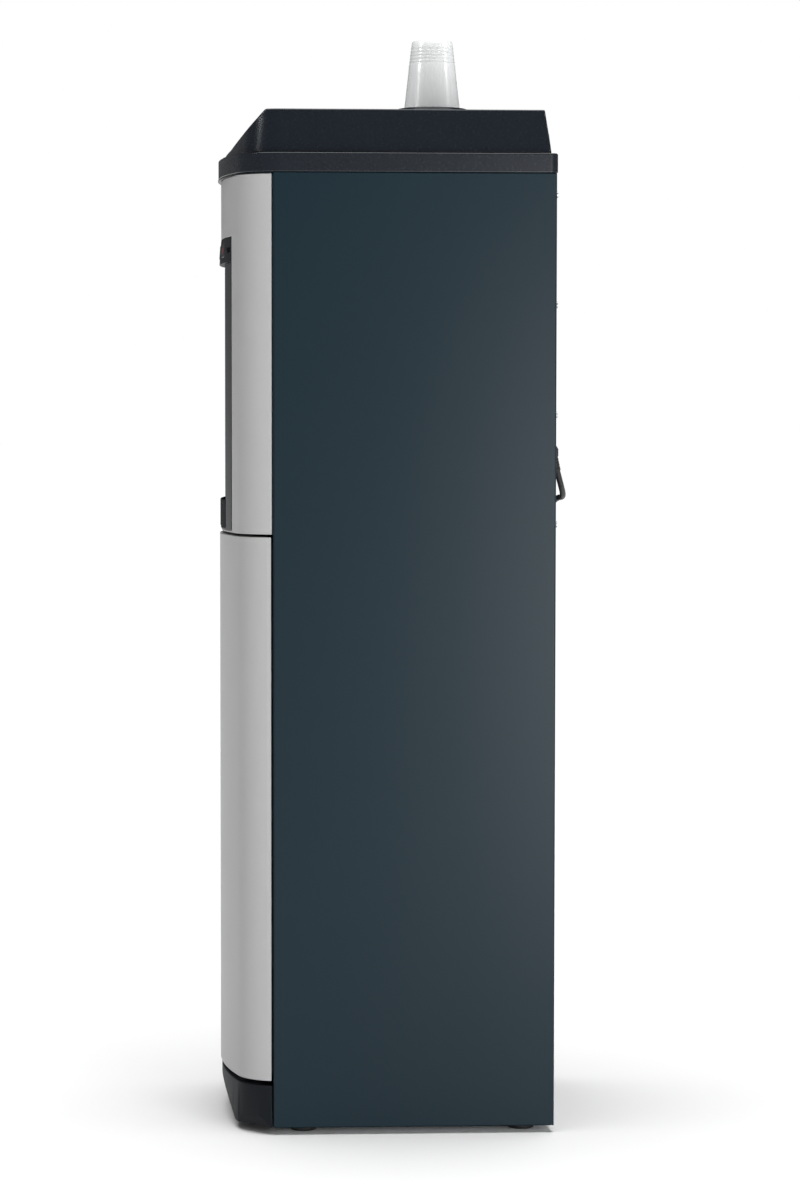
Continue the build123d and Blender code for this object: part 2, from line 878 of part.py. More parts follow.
def cup(base_z):
    """Thin inverted cup whose closed end is at base_z, as a face to revolve."""
    top = cup_base / 2
    foot = cup_base / 2 + cup_taper * cup_height
    rim_z = base_z - cup_height
    with BuildSketch(Plane.XZ.offset(-cup_axis_y), mode=Mode.PRIVATE) as profile:
        with BuildLine():
            Polyline(
                (0, base_z),
                (top, base_z),
                (foot, rim_z + cup_rim),
                (foot + cup_rim, rim_z + cup_rim),
                (foot + cup_rim, rim_z),
                (foot - cup_wall, rim_z),
                (top - cup_wall, base_z - cup_wall),
                (0, base_z - cup_wall),
                close=True,
            )
        make_face()
    return profile.sketch


cup_axis = Axis((0, cup_axis_y, 0), (0, 0, 1))
with BuildPart() as cup_stack:
    for i in range(cup_count - 1):
        revolve(cup(cup_top - (cup_count - 1 - i) * cup_pitch), axis=cup_axis)
export(cup_stack, "cup_stack")

with BuildPart() as top_cup:
    revolve(cup(cup_top), axis=cup_axis)
export(top_cup, "top_cup")


# ------------------------------------------------------------- pipes and hoses
def corner_radii(points):
    """Arc radius at each inner point: 0.45 of the shorter run over tan(half turn)."""
    radii = []
    for before, at, after in zip(points, points[1:], points[2:]):
        run_in = Vector(*at) - Vector(*before)
        run_out = Vector(*after) - Vector(*at)
        half_turn = radians(run_in.get_angle(run_out)) / 2
        radii.append(0.45 * min(run_in.length, run_out.length) / tan(half_turn))
    return radii


def tube(points, bend, radius, bore=0):
    """A round tube along straight runs joined by arcs of at most the given bend."""
    with BuildLine(mode=Mode.PRIVATE) as path:
        FilletPolyline(*points, radius=[min(bend, arc) for arc in corner_radii(points)])
    start = Plane(origin=path.line @ 0, z_dir=path.line % 0)
    with BuildSketch(start, mode=Mode.PRIVATE) as section:
        Circle(radius)
        if bore:
            Circle(bore, mode=Mode.SUBTRACT)
    sweep(section.sketch, path=path.line)
    return sum(edge.length for edge in path.edges())


# upper deck for the cold tank, behind the alcove
tank_deck = deck_top + 180.0
tank_deck_front = alcove_back + alcove_wall + 4.0
tank_y = rear_panel_front - 113.5
tank_radius = 58.0
coil_tube = 4.0
coil_gap = 0.3
coil_radius = tank_radius + coil_gap + coil_tube
suction_x = coil_radius
riser_x = -(side_inner - 11.5)
pump_y = alcove_back + 43.0
front_pipes_y = alcove_back + 22.0
cold_pipe_x, room_pipe_x, hot_pipe_x = nozzle_x
with BuildPart() as tank_shelf:
    block(both(side_inner), (tank_deck_front, rear_panel_front), (tank_deck - pan_sheet, tank_deck))
    fillet(tank_shelf.edges().filter_by(Axis.Z), fold_radius)
    for side in (-1, 1):
        edge = sorted((side * (side_inner - pan_sheet), side * side_inner))
        block(
            edge,
            (tank_deck_front + fold_radius, rear_panel_front - fold_radius),
            (tank_deck - shelf_flange, tank_deck),
        )
    with Locations((riser_x, pump_y, tank_deck), (hot_x, front_pipes_y, tank_deck)):
        Cylinder(hose_radius + pipe_clear, 4 * pan_sheet, mode=Mode.SUBTRACT)
    with Locations((suction_x, condenser_y, tank_deck), (drier_x, condenser_y, tank_deck)):
        Cylinder(hose_radius + pipe_clear, 4 * pan_sheet, mode=Mode.SUBTRACT)
export(tank_shelf, "tank_shelf")

# cold tank inside its coil and its block of foam
tank_wall = 1.2
tank_height = 147.0
foam = 18.0
foam_half = 86.0
tank_bottom = tank_deck + foam
tank_top = tank_bottom + tank_height
coil_pitch = 10.0
coil_turns = 7.5
coil_low = tank_bottom + 26.0
coil_high = coil_low + coil_pitch * coil_turns
cavity_radius = coil_radius + coil_tube + 2.0
cold_port_z = tank_bottom + 12.0
room_port_z = tank_top - 14.0
feed_port_z = tank_top - 14.0
port_length = 12.0


def port(start, end, radius=hose_radius):
    """A short stub of pipe between two points."""
    axis = Vector(*end) - Vector(*start)
    with BuildSketch(Plane(origin=start, z_dir=axis), mode=Mode.PRIVATE) as section:
        Circle(radius)
    extrude(section.sketch, amount=axis.length)


with BuildPart() as cold_tank:
    with Locations((0, tank_y, (tank_bottom + tank_top) / 2)):
        Cylinder(tank_radius, tank_height)
    for x, z in ((cold_pipe_x, cold_port_z), (room_pipe_x, room_port_z)):
        port((x, tank_y - tank_radius / 2, z), (x, tank_y - tank_radius - port_length, z))
    port((-tank_radius / 2, tank_y, feed_port_z), (-tank_radius - port_length, tank_y, feed_port_z))
    with Locations((0, tank_y, (tank_bottom + tank_top) / 2)):
        Cylinder(tank_radius - tank_wall, tank_height - 2 * tank_wall, mode=Mode.SUBTRACT)
export(cold_tank, "cold_tank")

with BuildPart() as tank_insulation:
    block(both(foam_half), (tank_y - foam_half, tank_y + foam_half), (tank_deck, tank_top + foam))
    with Locations((0, tank_y, (tank_bottom + tank_top) / 2)):
        Cylinder(cavity_radius, tank_height, mode=Mode.SUBTRACT)
    with BuildSketch(Plane.XZ.offset(-(tank_y - foam_half))):
        with Locations((cold_pipe_x, cold_port_z), (room_pipe_x, room_port_z)):
            Circle(hose_radius + fit_gap)
    extrude(amount=-foam_half, mode=Mode.SUBTRACT)
    with BuildSketch(Plane.XZ.offset(-(tank_y + foam_half))):
        with Locations((coil_radius, coil_high), (-coil_radius, coil_low)):
            Circle(coil_tube + fit_gap)
    extrude(amount=foam_half, mode=Mode.SUBTRACT)
    with BuildSketch(Plane.YZ.offset(-foam_half)):
        with Locations((tank_y, feed_port_z)):
            Circle(hose_radius + fit_gap)
    extrude(amount=foam_half, mode=Mode.SUBTRACT)
export(tank_insulation, "tank_insulation")


def biarc(start, start_dir, end, end_dir):
    """Two tangent arcs that leave start and reach end in the given directions."""
    chord = end - start
    both_dirs = start_dir + end_dir
    spread = 2 * (1 - start_dir.dot(end_dir))
    reach = (
        -chord.dot(both_dirs)
        + (chord.dot(both_dirs) ** 2 + spread * chord.dot(chord)) ** 0.5
    ) / spread
    knot = (start + end + (start_dir - end_dir) * reach) / 2
    for base, direction, far in ((start, start_dir, knot), (knot, None, end)):
        if direction is None:
            TangentArc(base, far, tangent=(knot - start - start_dir * reach).normalized())
        else:
            TangentArc(base, far, tangent=direction)


def wound(spot, heading, first, last, steps, lead, tail):
    """A path through steps equal stretches of a winding, straight at both ends."""
    angles = [first + (last - first) * i / steps for i in range(steps + 1)]
    with BuildLine(mode=Mode.PRIVATE) as path:
        Line(spot(first) - heading(first) * lead, spot(first))
        for low, high in zip(angles, angles[1:]):
            biarc(spot(low), heading(low), spot(high), heading(high))
        Line(spot(last), spot(last) + heading(last) * tail)
    return path.wires()[0]


def coil_spot(angle):
    """Point of the evaporator's helix, at an angle in radians."""
    height = coil_low + coil_pitch * (angle - pi) / (2 * pi)
    return Vector(coil_radius * cos(angle), tank_y + coil_radius * sin(angle), height)


coil_last = pi + 2 * pi * coil_turns
coil_stub = 2 * coil_tube


def coil_heading(angle):
    """Direction of the evaporator's helix, flat at its two ends."""
    flat = angle in (pi, coil_last)
    rise = 0 if flat else coil_pitch / (2 * pi)
    return Vector(-coil_radius * sin(angle), coil_radius * cos(angle), rise).normalized()


coil_path = wound(coil_spot, coil_heading, pi, coil_last, int(4 * coil_turns), coil_stub, coil_stub)
with BuildPart() as evaporator_coil:
    with BuildSketch(Plane(origin=coil_path @ 0, z_dir=coil_path % 0), mode=Mode.PRIVATE) as coil_section:
        Circle(coil_tube)
    sweep(coil_section.sketch, path=coil_path)
export(evaporator_coil, "evaporator_coil")

# ------------------------------------------------------ hot tank, pump, water lines
hot_tank_radius = 50.0
hot_tank_bottom = deck_top + 20.0
hot_tank_top = hot_tank_bottom + 140.0
jacket_radius = 62.0
jacket_top = hot_tank_top + 10.0
hot_port_z = hot_tank_top - 15.0
hot_feed_z = deck_top + 70.0
hot_feed_x = hot_x - 24.0
hot_port_y = hot_y - jacket_radius - 6.0
hot_drain_z = deck_top + 10.0
band_height = 32.0
band_proud = 1.5
hot_band_z = (hot_tank_bottom + hot_tank_top) / 2 + 6.0
with BuildPart() as hot_tank:
    with Locations((hot_x, hot_y, (hot_tank_bottom + hot_tank_top) / 2)):
        Cylinder(hot_tank_radius, hot_tank_top - hot_tank_bottom)
    with Locations((hot_x, hot_y, hot_band_z)):
        Cylinder(hot_tank_radius + band_proud, band_height)
    for x, z in ((hot_x, hot_port_z), (hot_feed_x, hot_feed_z)):
        port((x, hot_y - hot_tank_radius / 2, z), (x, hot_port_y, z))
    port((hot_x, hot_y, hot_tank_bottom + tank_wall), (hot_x, hot_y, hot_drain_z))
    with Locations((hot_x, hot_y, (hot_tank_bottom + hot_tank_top) / 2)):
        Cylinder(
            hot_tank_radius - tank_wall,
            hot_tank_top - hot_tank_bottom - 2 * tank_wall,
            mode=Mode.SUBTRACT,
        )
export(hot_tank, "hot_tank")

jacket_bore = hot_tank_radius + band_proud + touch_gap
with BuildPart() as hot_tank_jacket:
    with Locations((hot_x, hot_y, (deck_top + jacket_top) / 2)):
        Cylinder(jacket_radius, jacket_top - deck_top)
    with Locations((hot_x, hot_y, (hot_tank_bottom + hot_tank_top) / 2)):
        Cylinder(jacket_bore, hot_tank_top - hot_tank_bottom, mode=Mode.SUBTRACT)
    with Locations((hot_x, hot_y, deck_top)):
        Cylinder(hose_radius + fit_gap, 2 * (hot_tank_bottom - deck_top), mode=Mode.SUBTRACT)
    with BuildSketch(Plane.XZ.offset(-(hot_y - jacket_radius))):
        with Locations((hot_x, hot_port_z), (hot_feed_x, hot_feed_z)):
            Circle(hose_radius + fit_gap)
    extrude(amount=-jacket_radius, mode=Mode.SUBTRACT)
export(hot_tank_jacket, "hot_tank_jacket")

pump_x = hot_x + 14.0
pump_radius = 24.0
pump_length = 78.0
pump_head = 26.0
pump_z = deck_top + 28.0
pump_foot = 34.0
pump_port = 8.0
pump_face = pump_length / 2
with BuildPart() as water_pump:
    with Locations(Location((pump_x, pump_y, pump_z), (0, 90, 0))):
        Cylinder(pump_radius - 2, pump_length)
    with Locations(Location((pump_x - pump_face + pump_head / 2, pump_y, pump_z), (0, 90, 0))):
        Cylinder(pump_radius, pump_head)
    for x in (pump_x - pump_face + pump_head, pump_x + pump_face - pump_head / 2):
        block((x - 3, x + 3), (pump_y - pump_foot / 2, pump_y + pump_foot / 2), (deck_top, pump_z))
    for side in (-1, 1):
        port(
            (pump_x, pump_y, pump_z),
            (pump_x + side * (pump_face + pump_port), pump_y, pump_z),
        )
export(water_pump, "water_pump")

hose_bend = 14.0
nozzle_pipe_z = front_panel_top - 22.0
hot_pipe_z = nozzle_pipe_z + 13.0
supply_x = side_inner - 8.5
hose_join_z = deck_top + 4.0
drain_join_y = back_wall_front - 14.0
water_routes = [
    [
        (hose_x, hose_y, hose_join_z),
        (hose_x, hose_y, pump_z),
        (supply_x, hose_y, pump_z),
        (supply_x, pump_y, pump_z),
        (pump_x + pump_face + pump_port, pump_y, pump_z),
    ],
    [
        (pump_x - pump_face - pump_port, pump_y, pump_z),
        (riser_x, pump_y, pump_z),
        (riser_x, pump_y, feed_port_z),
        (riser_x, tank_y, feed_port_z),
        (-tank_radius - port_length, tank_y, feed_port_z),
    ],
    [
        (hot_feed_x, hot_port_y, hot_feed_z),
        (hot_feed_x, pump_y, hot_feed_z),
        (riser_x, pump_y, hot_feed_z),
    ],
    [
        (hot_x, hot_port_y, hot_port_z),
        (hot_x, front_pipes_y, hot_port_z),
        (hot_x, front_pipes_y, hot_pipe_z),
        (hot_pipe_x, front_pipes_y, hot_pipe_z),
        (hot_pipe_x, nozzle_y, hot_pipe_z),
        (hot_pipe_x, nozzle_y, nozzle_top),
    ],
    [
        (hot_x, hot_y, hot_drain_z),
        (hot_x, hot_y, drain_z),
        (hot_x, drain_join_y, drain_z),
    ],
]
for pipe_x, port_z in ((cold_pipe_x, cold_port_z), (room_pipe_x, room_port_z)):
    water_routes.append(
        [
            (pipe_x, tank_y - tank_radius - port_length, port_z),
            (pipe_x, front_pipes_y, port_z),
            (pipe_x, front_pipes_y, nozzle_pipe_z),
            (pipe_x, nozzle_y, nozzle_pipe_z),
            (pipe_x, nozzle_y, nozzle_top),
        ]
    )
with BuildPart() as water_lines:
    for route in water_routes:
        tube(route, hose_bend, hose_radius, hose_bore)
export(water_lines, "water_lines")

# drain: a threaded spout through the rear wall, closed by a cap
drain_out = 13.0
drain_flange = 12.5
drain_bore = 5.0
drain_cap_radius = 12.5
drain_cap_end = back_wall_rear + 21.0
with BuildPart() as drain_fitting:
    with Locations((hot_x, (drain_join_y + back_wall_front) / 2, drain_z)):
        Cylinder(hose_radius + 1, back_wall_front - drain_join_y, rotation=(90, 0, 0))
    with Locations((hot_x, back_wall_front - 1.5, drain_z)):
        Cylinder(drain_flange, 3, rotation=(90, 0, 0))
    with Locations((hot_x, (back_wall_front + back_wall_rear + drain_out) / 2, drain_z)):
        Cylinder(drain_radius, sheet + drain_out, rotation=(90, 0, 0))
    with Locations((hot_x, back_wall_rear, drain_z)):
        Cylinder(drain_bore, 4 * drain_out, rotation=(90, 0, 0), mode=Mode.SUBTRACT)
export(drain_fitting, "drain_fitting")

cap_start = back_wall_rear + 3.0
cap_floor = back_wall_rear + drain_out + touch_gap
with BuildPart() as drain_cap:
    with Locations((hot_x, (cap_start + drain_cap_end) / 2, drain_z)):
        Cylinder(drain_cap_radius, drain_cap_end - cap_start, rotation=(90, 0, 0))
        chamfer(drain_cap.edges().group_by(Axis.Y)[-1], 1)
    with Locations((hot_x, (cap_start + cap_floor) / 2, drain_z)):
        Cylinder(
            drain_radius + running_gap,
            cap_floor - cap_start,
            rotation=(90, 0, 0),
            mode=Mode.SUBTRACT,
        )
export(drain_cap, "drain_cap")

# ---------------------------------------------------------------- cooling circuit
compressor_x = side_inner - 79.5
compressor_y = back_wall_front - 76.0
compressor_radius = 62.0
compressor_base = 3.0
grommet = 10.0
grommet_radius = 8.0
grommet_at = 35.0
base_half = 44.0
compressor_bottom = deck_top + grommet
compressor_top = compressor_bottom + 150.0
suction_z = compressor_top - 42.0
discharge_z = deck_top + 40.0
gas_port_y = compressor_y + compressor_radius + 6.0
with BuildPart() as compressor:
    with Locations(
        (
            compressor_x,
            compressor_y,
            (compressor_bottom + compressor_base + compressor_top) / 2,
        )
    ):
        Cylinder(compressor_radius, compressor_top - compressor_bottom - compressor_base)
    fillet(compressor.edges().group_by(Axis.Z)[-1], compressor_radius / 2)
    fillet(compressor.edges().group_by(Axis.Z)[0], compressor_radius / 4)
    block(
        (compressor_x - base_half, compressor_x + base_half),
        (compressor_y - base_half, compressor_y + base_half),
        (compressor_bottom, compressor_bottom + compressor_base),
    )
    port((suction_x, compressor_y, suction_z), (suction_x, gas_port_y, suction_z), coil_tube + 1)
    port((discharge_x, compressor_y, discharge_z), (discharge_x, gas_port_y, discharge_z), gas_pipe + 1)
export(compressor, "compressor")

with BuildPart() as compressor_grommets:
    with Locations((compressor_x, compressor_y, deck_top + grommet / 2)):
        with GridLocations(2 * grommet_at, 2 * grommet_at, 2, 2):
            Cylinder(grommet_radius, grommet)
            Cylinder(grommet_radius - 5, grommet, mode=Mode.SUBTRACT)
export(compressor_grommets, "compressor_grommets")

condenser_passes = 11
condenser_pitch = 40.0
condenser_join_z = deck_top - 30.0
condenser_top = condenser_join_z - condenser_pitch
condenser_route = [(discharge_x, condenser_y, condenser_join_z), (discharge_x, condenser_y, condenser_top)]
for i in range(condenser_passes - 1):
    side = -1 if i % 2 == 0 else 1
    for level in (i, i + 1):
        condenser_route.append((side * condenser_half, condenser_y, condenser_top - level * condenser_pitch))
condenser_bottom = condenser_top - (condenser_passes - 1) * condenser_pitch
condenser_route.append((drier_x, condenser_y, condenser_bottom))
condenser_route.append((drier_x, condenser_y, condenser_join_z))
with BuildPart() as condenser_tube:
    tube(condenser_route, condenser_pitch / 2, gas_pipe)
export(condenser_tube, "condenser_tube")

wire_radius = 0.8
wire_count = 16
wire_over = 15.0
wire_side = 2.5
wire_pitch = 2 * (condenser_half - condenser_pitch / 2 - wire_side) / (wire_count - 1)
wire_middle = (condenser_top + condenser_bottom) / 2
wire_length = condenser_top - condenser_bottom + 2 * wire_over
wire_offset = gas_pipe + running_gap + wire_radius
with BuildPart() as condenser_wires:
    for side in (-1, 1):
        with Locations((0, condenser_y + side * wire_offset, wire_middle)):
            with GridLocations(wire_pitch, 1, wire_count, 1):
                Cylinder(wire_radius, wire_length)
export(condenser_wires, "condenser_wires")

bracket_width = 22.0
bracket_outer = side_inner - 4.5
bracket_inner = bracket_outer - bracket_width
bracket_half = 7.0
bracket_front = condenser_y + gas_pipe
with BuildPart() as condenser_brackets:
    for side in (-1, 1):
        span = sorted((side * bracket_inner, side * bracket_outer))
        for z in (condenser_bottom + condenser_pitch / 2, condenser_top - condenser_pitch / 2):
            block(span, (bracket_front, pan_rear), (z - bracket_half, z + bracket_half))
export(condenser_brackets, "condenser_brackets")

drier_radius = 8.5
drier_z = (deck_top + 50.0, deck_top + 120.0)
with BuildPart() as filter_drier:
    with Locations((drier_x, condenser_y, (drier_z[0] + drier_z[1]) / 2)):
        Cylinder(drier_radius, drier_z[1] - drier_z[0])
    fillet(filter_drier.edges(), 4)
export(filter_drier, "filter_drier")

capillary = 1.2
gas_bend = 11.0
evaporator_back = tank_y + 2 * coil_tube
gas_routes = [
    (
        coil_tube,
        [
            (suction_x, evaporator_back, coil_high),
            (suction_x, condenser_y, coil_high),
            (suction_x, condenser_y, suction_z),
            (suction_x, gas_port_y, suction_z),
        ],
    ),
    (
        gas_pipe,
        [
            (discharge_x, gas_port_y, discharge_z),
            (discharge_x, condenser_y, discharge_z),
            (discharge_x, condenser_y, condenser_join_z),
        ],
    ),
    (
        capillary,
        [
            (drier_x, condenser_y, drier_z[1]),
            (drier_x, condenser_y, coil_low),
            (-coil_radius, condenser_y, coil_low),
            (-coil_radius, evaporator_back, coil_low),
        ],
    ),
]
with BuildPart() as refrigerant_lines:
    for pipe_radius, route in gas_routes:
        tube(route, gas_bend, pipe_radius)
    with Locations((drier_x, condenser_y, (condenser_join_z + drier_z[0]) / 2)):
        Cylinder(gas_pipe, drier_z[0] - condenser_join_z)
export(refrigerant_lines, "refrigerant_lines")

# ------------------------------------------------------------- bottle probe
holder_z = deck_top - 70.0
holder_t = 3.0
probe_cap_radius = 24.0
probe_cap_height = 27.0
probe_radius = 9.0
probe_bore = 7.0
probe_bottom = floor_top + 79.5
probe_taper = 8.0
slot_gap = 0.5
holder_front = hose_y - 26.0
holder_rear = back_wall_front - 1.5
holder_left = hose_x - 22.0
holder_tab = 24.0
with BuildPart() as probe_holder:
    block((holder_left, side_inner), (holder_front, holder_rear), (holder_z, holder_z + holder_t))
    block((side_inner - holder_t, side_inner), (holder_front, holder_rear), (holder_z - holder_tab, holder_z))
    with Locations((hose_x, hose_y, holder_z)):
        Cylinder(probe_radius + slot_gap, 4 * holder_t, mode=Mode.SUBTRACT)
    block(
        (hose_x - probe_radius - slot_gap, hose_x + probe_radius + slot_gap),
        (holder_front - 1, hose_y),
        (holder_z - 1, holder_z + holder_t + 1),
        mode=Mode.SUBTRACT,
    )
export(probe_holder, "probe_holder")

probe_rest = holder_z + holder_t + touch_gap
probe_cap_top = probe_rest + probe_cap_height
with BuildPart() as bottle_probe:
    with Locations((hose_x, hose_y, (probe_rest + probe_cap_top) / 2)):
        Cylinder(probe_cap_radius, probe_cap_height)
    fillet(bottle_probe.edges().group_by(Axis.Z)[-1], 4)
    with Locations((hose_x, hose_y, (probe_bottom + probe_rest) / 2)):
        Cylinder(probe_radius, probe_rest - probe_bottom)
    chamfer(bottle_probe.edges().group_by(Axis.Z)[0], 3)
    with Locations((hose_x, hose_y, (probe_bottom + probe_rest) / 2)):
        Cylinder(probe_bore / 2, probe_rest - probe_bottom, mode=Mode.SUBTRACT)
export(bottle_probe, "bottle_probe")

with BuildPart() as probe_hose:
    with Locations((hose_x, hose_y, (probe_cap_top + hose_join_z) / 2)):
        Cylinder(hose_radius, hose_join_z - probe_cap_top)
        Cylinder(hose_bore, hose_join_z - probe_cap_top, mode=Mode.SUBTRACT)
export(probe_hose, "probe_hose")

# ------------------------------------------------------------- rear switches
bezel_proud = 1.4
rocker_proud = 2.3
rocker_back = 9.0
switch_depth = 18.0
pin_radius = 1.5
rocker_pin = 2.0
rocker_y = rear_panel_rear - 3.0
rocker_gap = 0.35
with BuildPart() as switch_bezels:
    for x in switch_x:
        block(
            (x - bezel_w / 2, x + bezel_w / 2),
            (rear_panel_rear, rear_panel_rear + bezel_proud),
            (switch_z - bezel_h / 2, switch_z + bezel_h / 2),
        )
        block(
            (x - switch_body_w / 2, x + switch_body_w / 2),
            (rear_panel_rear - switch_depth, rear_panel_rear),
            (switch_z - switch_body_h / 2, switch_z + switch_body_h / 2),
        )
        block(
            (x - rocker_w / 2, x + rocker_w / 2),
            (rear_panel_rear - rocker_back, rear_panel_rear + bezel_proud),
            (switch_z - rocker_h / 2, switch_z + rocker_h / 2),
            mode=Mode.SUBTRACT,
        )
        with Locations((x, rocker_y, switch_z)):
            Cylinder(
                pin_radius + running_gap,
                rocker_w + 2 * rocker_pin,
                rotation=(0, 90, 0),
                mode=Mode.SUBTRACT,
            )
export(switch_bezels, "switch_bezels")

for x, name in zip(switch_x, ("hot_switch", "cold_switch")):
    with BuildPart() as rocker:
        with BuildSketch(Plane.YZ.offset(x - rocker_w / 2 + rocker_gap)):
            with Locations((rocker_y, switch_z)):
                Circle(rocker_h / 2 - rocker_gap)
                Rectangle(rocker_h, rocker_h, align=(Align.MAX, Align.CENTER), mode=Mode.SUBTRACT)
                Rectangle(
                    2 * pin_radius,
                    rocker_h - 2 * rocker_gap - 2,
                    align=(Align.CENTER, Align.CENTER),
                )
            with Locations((rocker_y + rocker_proud + 3.0, switch_z)):
                Rectangle(
                    rocker_h,
                    rocker_h,
                    align=(Align.MIN, Align.CENTER),
                    mode=Mode.SUBTRACT,
                )
        extrude(amount=rocker_w - 2 * rocker_gap)
        with Locations((x, rocker_y, switch_z)):
            Cylinder(pin_radius, rocker_w + 2 * rocker_pin - 2 * rocker_gap, rotation=(0, 90, 0))
    export(rocker, name)

# ------------------------------------------------------------- mains lead
gland_half = 9.0
gland_top = gland_z + 11.0
gland_lip = 1.5
gland_out = 10.5
gland_lip_z = gland_z - 4.0
relief_exit = (cord_x, panel_rear + 4.2, gland_z - 9.0)
relief_slope = 0.31
relief_side = 0.48
relief_length = 21.0
relief_thick = 5.0
relief_thin = 4.0
relief_groove = 0.7
relief_grooves = 4
nut_radius = 8.0
nut_depth = 5.0
relief_axis = Vector(-relief_side, relief_slope, -1).normalized()
gland_back = rear_panel_rear + gland_out
with BuildPart() as cord_gland:
    with BuildSketch(Plane.YZ.offset(cord_x - gland_half)):
        with BuildLine():
            Polyline(
                (rear_panel_rear, relief_exit[2] - gland_out),
                (gland_back, relief_exit[2] - gland_out),
                (gland_back, gland_lip_z),
                (rear_panel_rear + gland_lip, gland_top),
                (rear_panel_rear, gland_top),
                close=True,
            )
        make_face()
    extrude(amount=2 * gland_half)
    split(bisect_by=Plane(origin=relief_exit, z_dir=relief_axis), keep=Keep.BOTTOM)
    port(
        (cord_x, rear_panel_rear, gland_z),
        (cord_x, rear_panel_front, gland_z),
        gland_hole,
    )
    port(
        (cord_x, rear_panel_front, gland_z),
        (cord_x, rear_panel_front - nut_depth, gland_z),
        nut_radius,
    )
export(cord_gland, "cord_gland")

relief_tip = Vector(*relief_exit) + relief_axis * relief_length
with BuildPart() as strain_relief:
    with BuildSketch(Plane(origin=relief_exit, x_dir=(1, 0, 0), z_dir=relief_axis)) as relief_low:
        Circle(relief_thick)
    with BuildSketch(Plane(origin=relief_tip, x_dir=(1, 0, 0), z_dir=relief_axis)) as relief_high:
        Circle(relief_thin)
    loft()
    for i in range(relief_grooves):
        at = Vector(*relief_exit) + relief_axis * (relief_length * (i + 1) / (relief_grooves + 1))
        with BuildSketch(Plane(origin=at, x_dir=(1, 0, 0), z_dir=relief_axis)):
            Circle(relief_thick + 1)
            Circle(relief_thin - relief_groove / 2, mode=Mode.SUBTRACT)
        extrude(amount=relief_groove, mode=Mode.SUBTRACT)
export(strain_relief, "strain_relief")

cord_radius = 3.25
floor_z = cord_radius + 0.15
lead_out = 12.0
loop_x = -226.0
loop_y = panel_front + 225.0
loop_outer = 41.0
loop_pitch = 8.0
loop_layer = 8.0
loop_turns = 1.5
loop_climb = 0.5
loop_inner = loop_outer - loop_turns * loop_pitch
loop_start_x = loop_x + loop_outer
loop_lead = 2 * cord_radius
loop_tail = 26.0
behind = panel_rear + 6.0
cord_route = [
    tuple(relief_tip),
    tuple(relief_tip + relief_axis * lead_out),
    (cord_x - 21.6, behind + 10.1, gland_z - 46.3),
    (cord_x - 31.5, behind + 12.5, gland_z - 52.5),
    (cord_x - 42.9, behind + 13.7, gland_z - 56.2),
    (cord_x - 55.7, behind + 13.3, gland_z - 57.7),
    (cord_x - 70.4, behind + 10.4, gland_z - 58.6),
    (cord_x - 85.0, behind + 4.8, gland_z - 65.4),
    (cord_x - 95.8, behind, gland_z - 78.9),
    (cord_x - 101.8, behind - 1.0, gland_z - 102.2),
    (cord_x - 100.0, behind, gland_z - 138.0),
    (cord_x - 102.0, behind - 0.5, gland_z - 186.0),
    (cord_x - 98.0, behind + 0.5, gland_z - 241.0),
    (cord_x - 102.0, behind - 0.5, gland_z - 299.0),
    (cord_x - 98.0, behind + 0.5, gland_z - 357.0),
    (cord_x - 101.0, behind - 0.5, gland_z - 415.0),
    (cord_x - 97.0, behind + 0.5, gland_z - 473.0),
    (cord_x - 101.0, behind - 0.5, gland_z - 531.0),
    (cord_x - 99.0, behind + 0.5, gland_z - 585.0),
    (cord_x - 99.5, behind + 1.5, gland_z - 629.0),
    (cord_x - 105.0, behind + 3.0, gland_z - 665.0),
    (cord_x - 119.0, behind + 5.0, gland_z - 696.0),
    (cord_x - 141.0, behind + 6.5, floor_z + 13.1),
    (cord_x - 165.0, behind + 6.0, floor_z + 2.1),
    (cord_x - 187.0, behind + 8.0, floor_z),
    (cord_x - 209.0, behind + 9.5, floor_z),
    (loop_start_x + 28.7, behind + 4.3, floor_z),
    (loop_start_x + 12.7, behind - 7.7, floor_z),
    (loop_start_x + 2.7, behind - 25.0, floor_z),
    (loop_start_x + 0.6, loop_y + 31.5, floor_z),
    (loop_start_x, loop_y + loop_lead, floor_z),
]
with BuildPart() as power_cord:
    cord_length = tube(cord_route, width, cord_radius)
export(power_cord, "power_cord")


def loop_shape(angle):
    """Radius and height of the coiled lead after turning by angle, in radians."""
    turned = angle / (2 * pi)
    inward = min(turned, loop_turns)
    outward = max(turned - loop_turns - loop_climb, 0)
    climbed = min(max(turned - loop_turns, 0), loop_climb) / loop_climb
    return (
        loop_outer - loop_pitch * (inward - outward),
        floor_z + loop_layer * climbed,
    )


def loop_spot(angle):
    """Point of the coiled lead's centre line, running clockwise from above."""
    reach, height = loop_shape(angle)
    return Vector(loop_x + reach * cos(angle), loop_y - reach * sin(angle), height)


def loop_heading(angle):
    """Direction of the coiled lead, from the change of its shape either side."""
    near = 0.02
    last = 2 * pi * (2 * loop_turns + loop_climb)
    seam = any(
        abs(angle - 2 * pi * turned) < near
        for turned in (0, loop_turns, loop_turns + loop_climb, 2 * loop_turns + loop_climb)
    )
    if seam:
        return Vector(-sin(angle), -cos(angle), 0)
    low = loop_spot(max(angle - near, 0))
    high = loop_spot(min(angle + near, last))
    return (high - low).normalized()


loop_last = 2 * pi * (2 * loop_turns + loop_climb)
loop_steps = round(4 * (2 * loop_turns + loop_climb))
loop_path = wound(loop_spot, loop_heading, 0, loop_last, loop_steps, loop_lead, loop_tail)
with BuildPart() as cord_coil:
    with BuildSketch(Plane(origin=loop_path @ 0, z_dir=loop_path % 0), mode=Mode.PRIVATE) as coil_end:
        Circle(cord_radius)
    sweep(coil_end.sketch, path=loop_path)
export(cord_coil, "cord_coil")

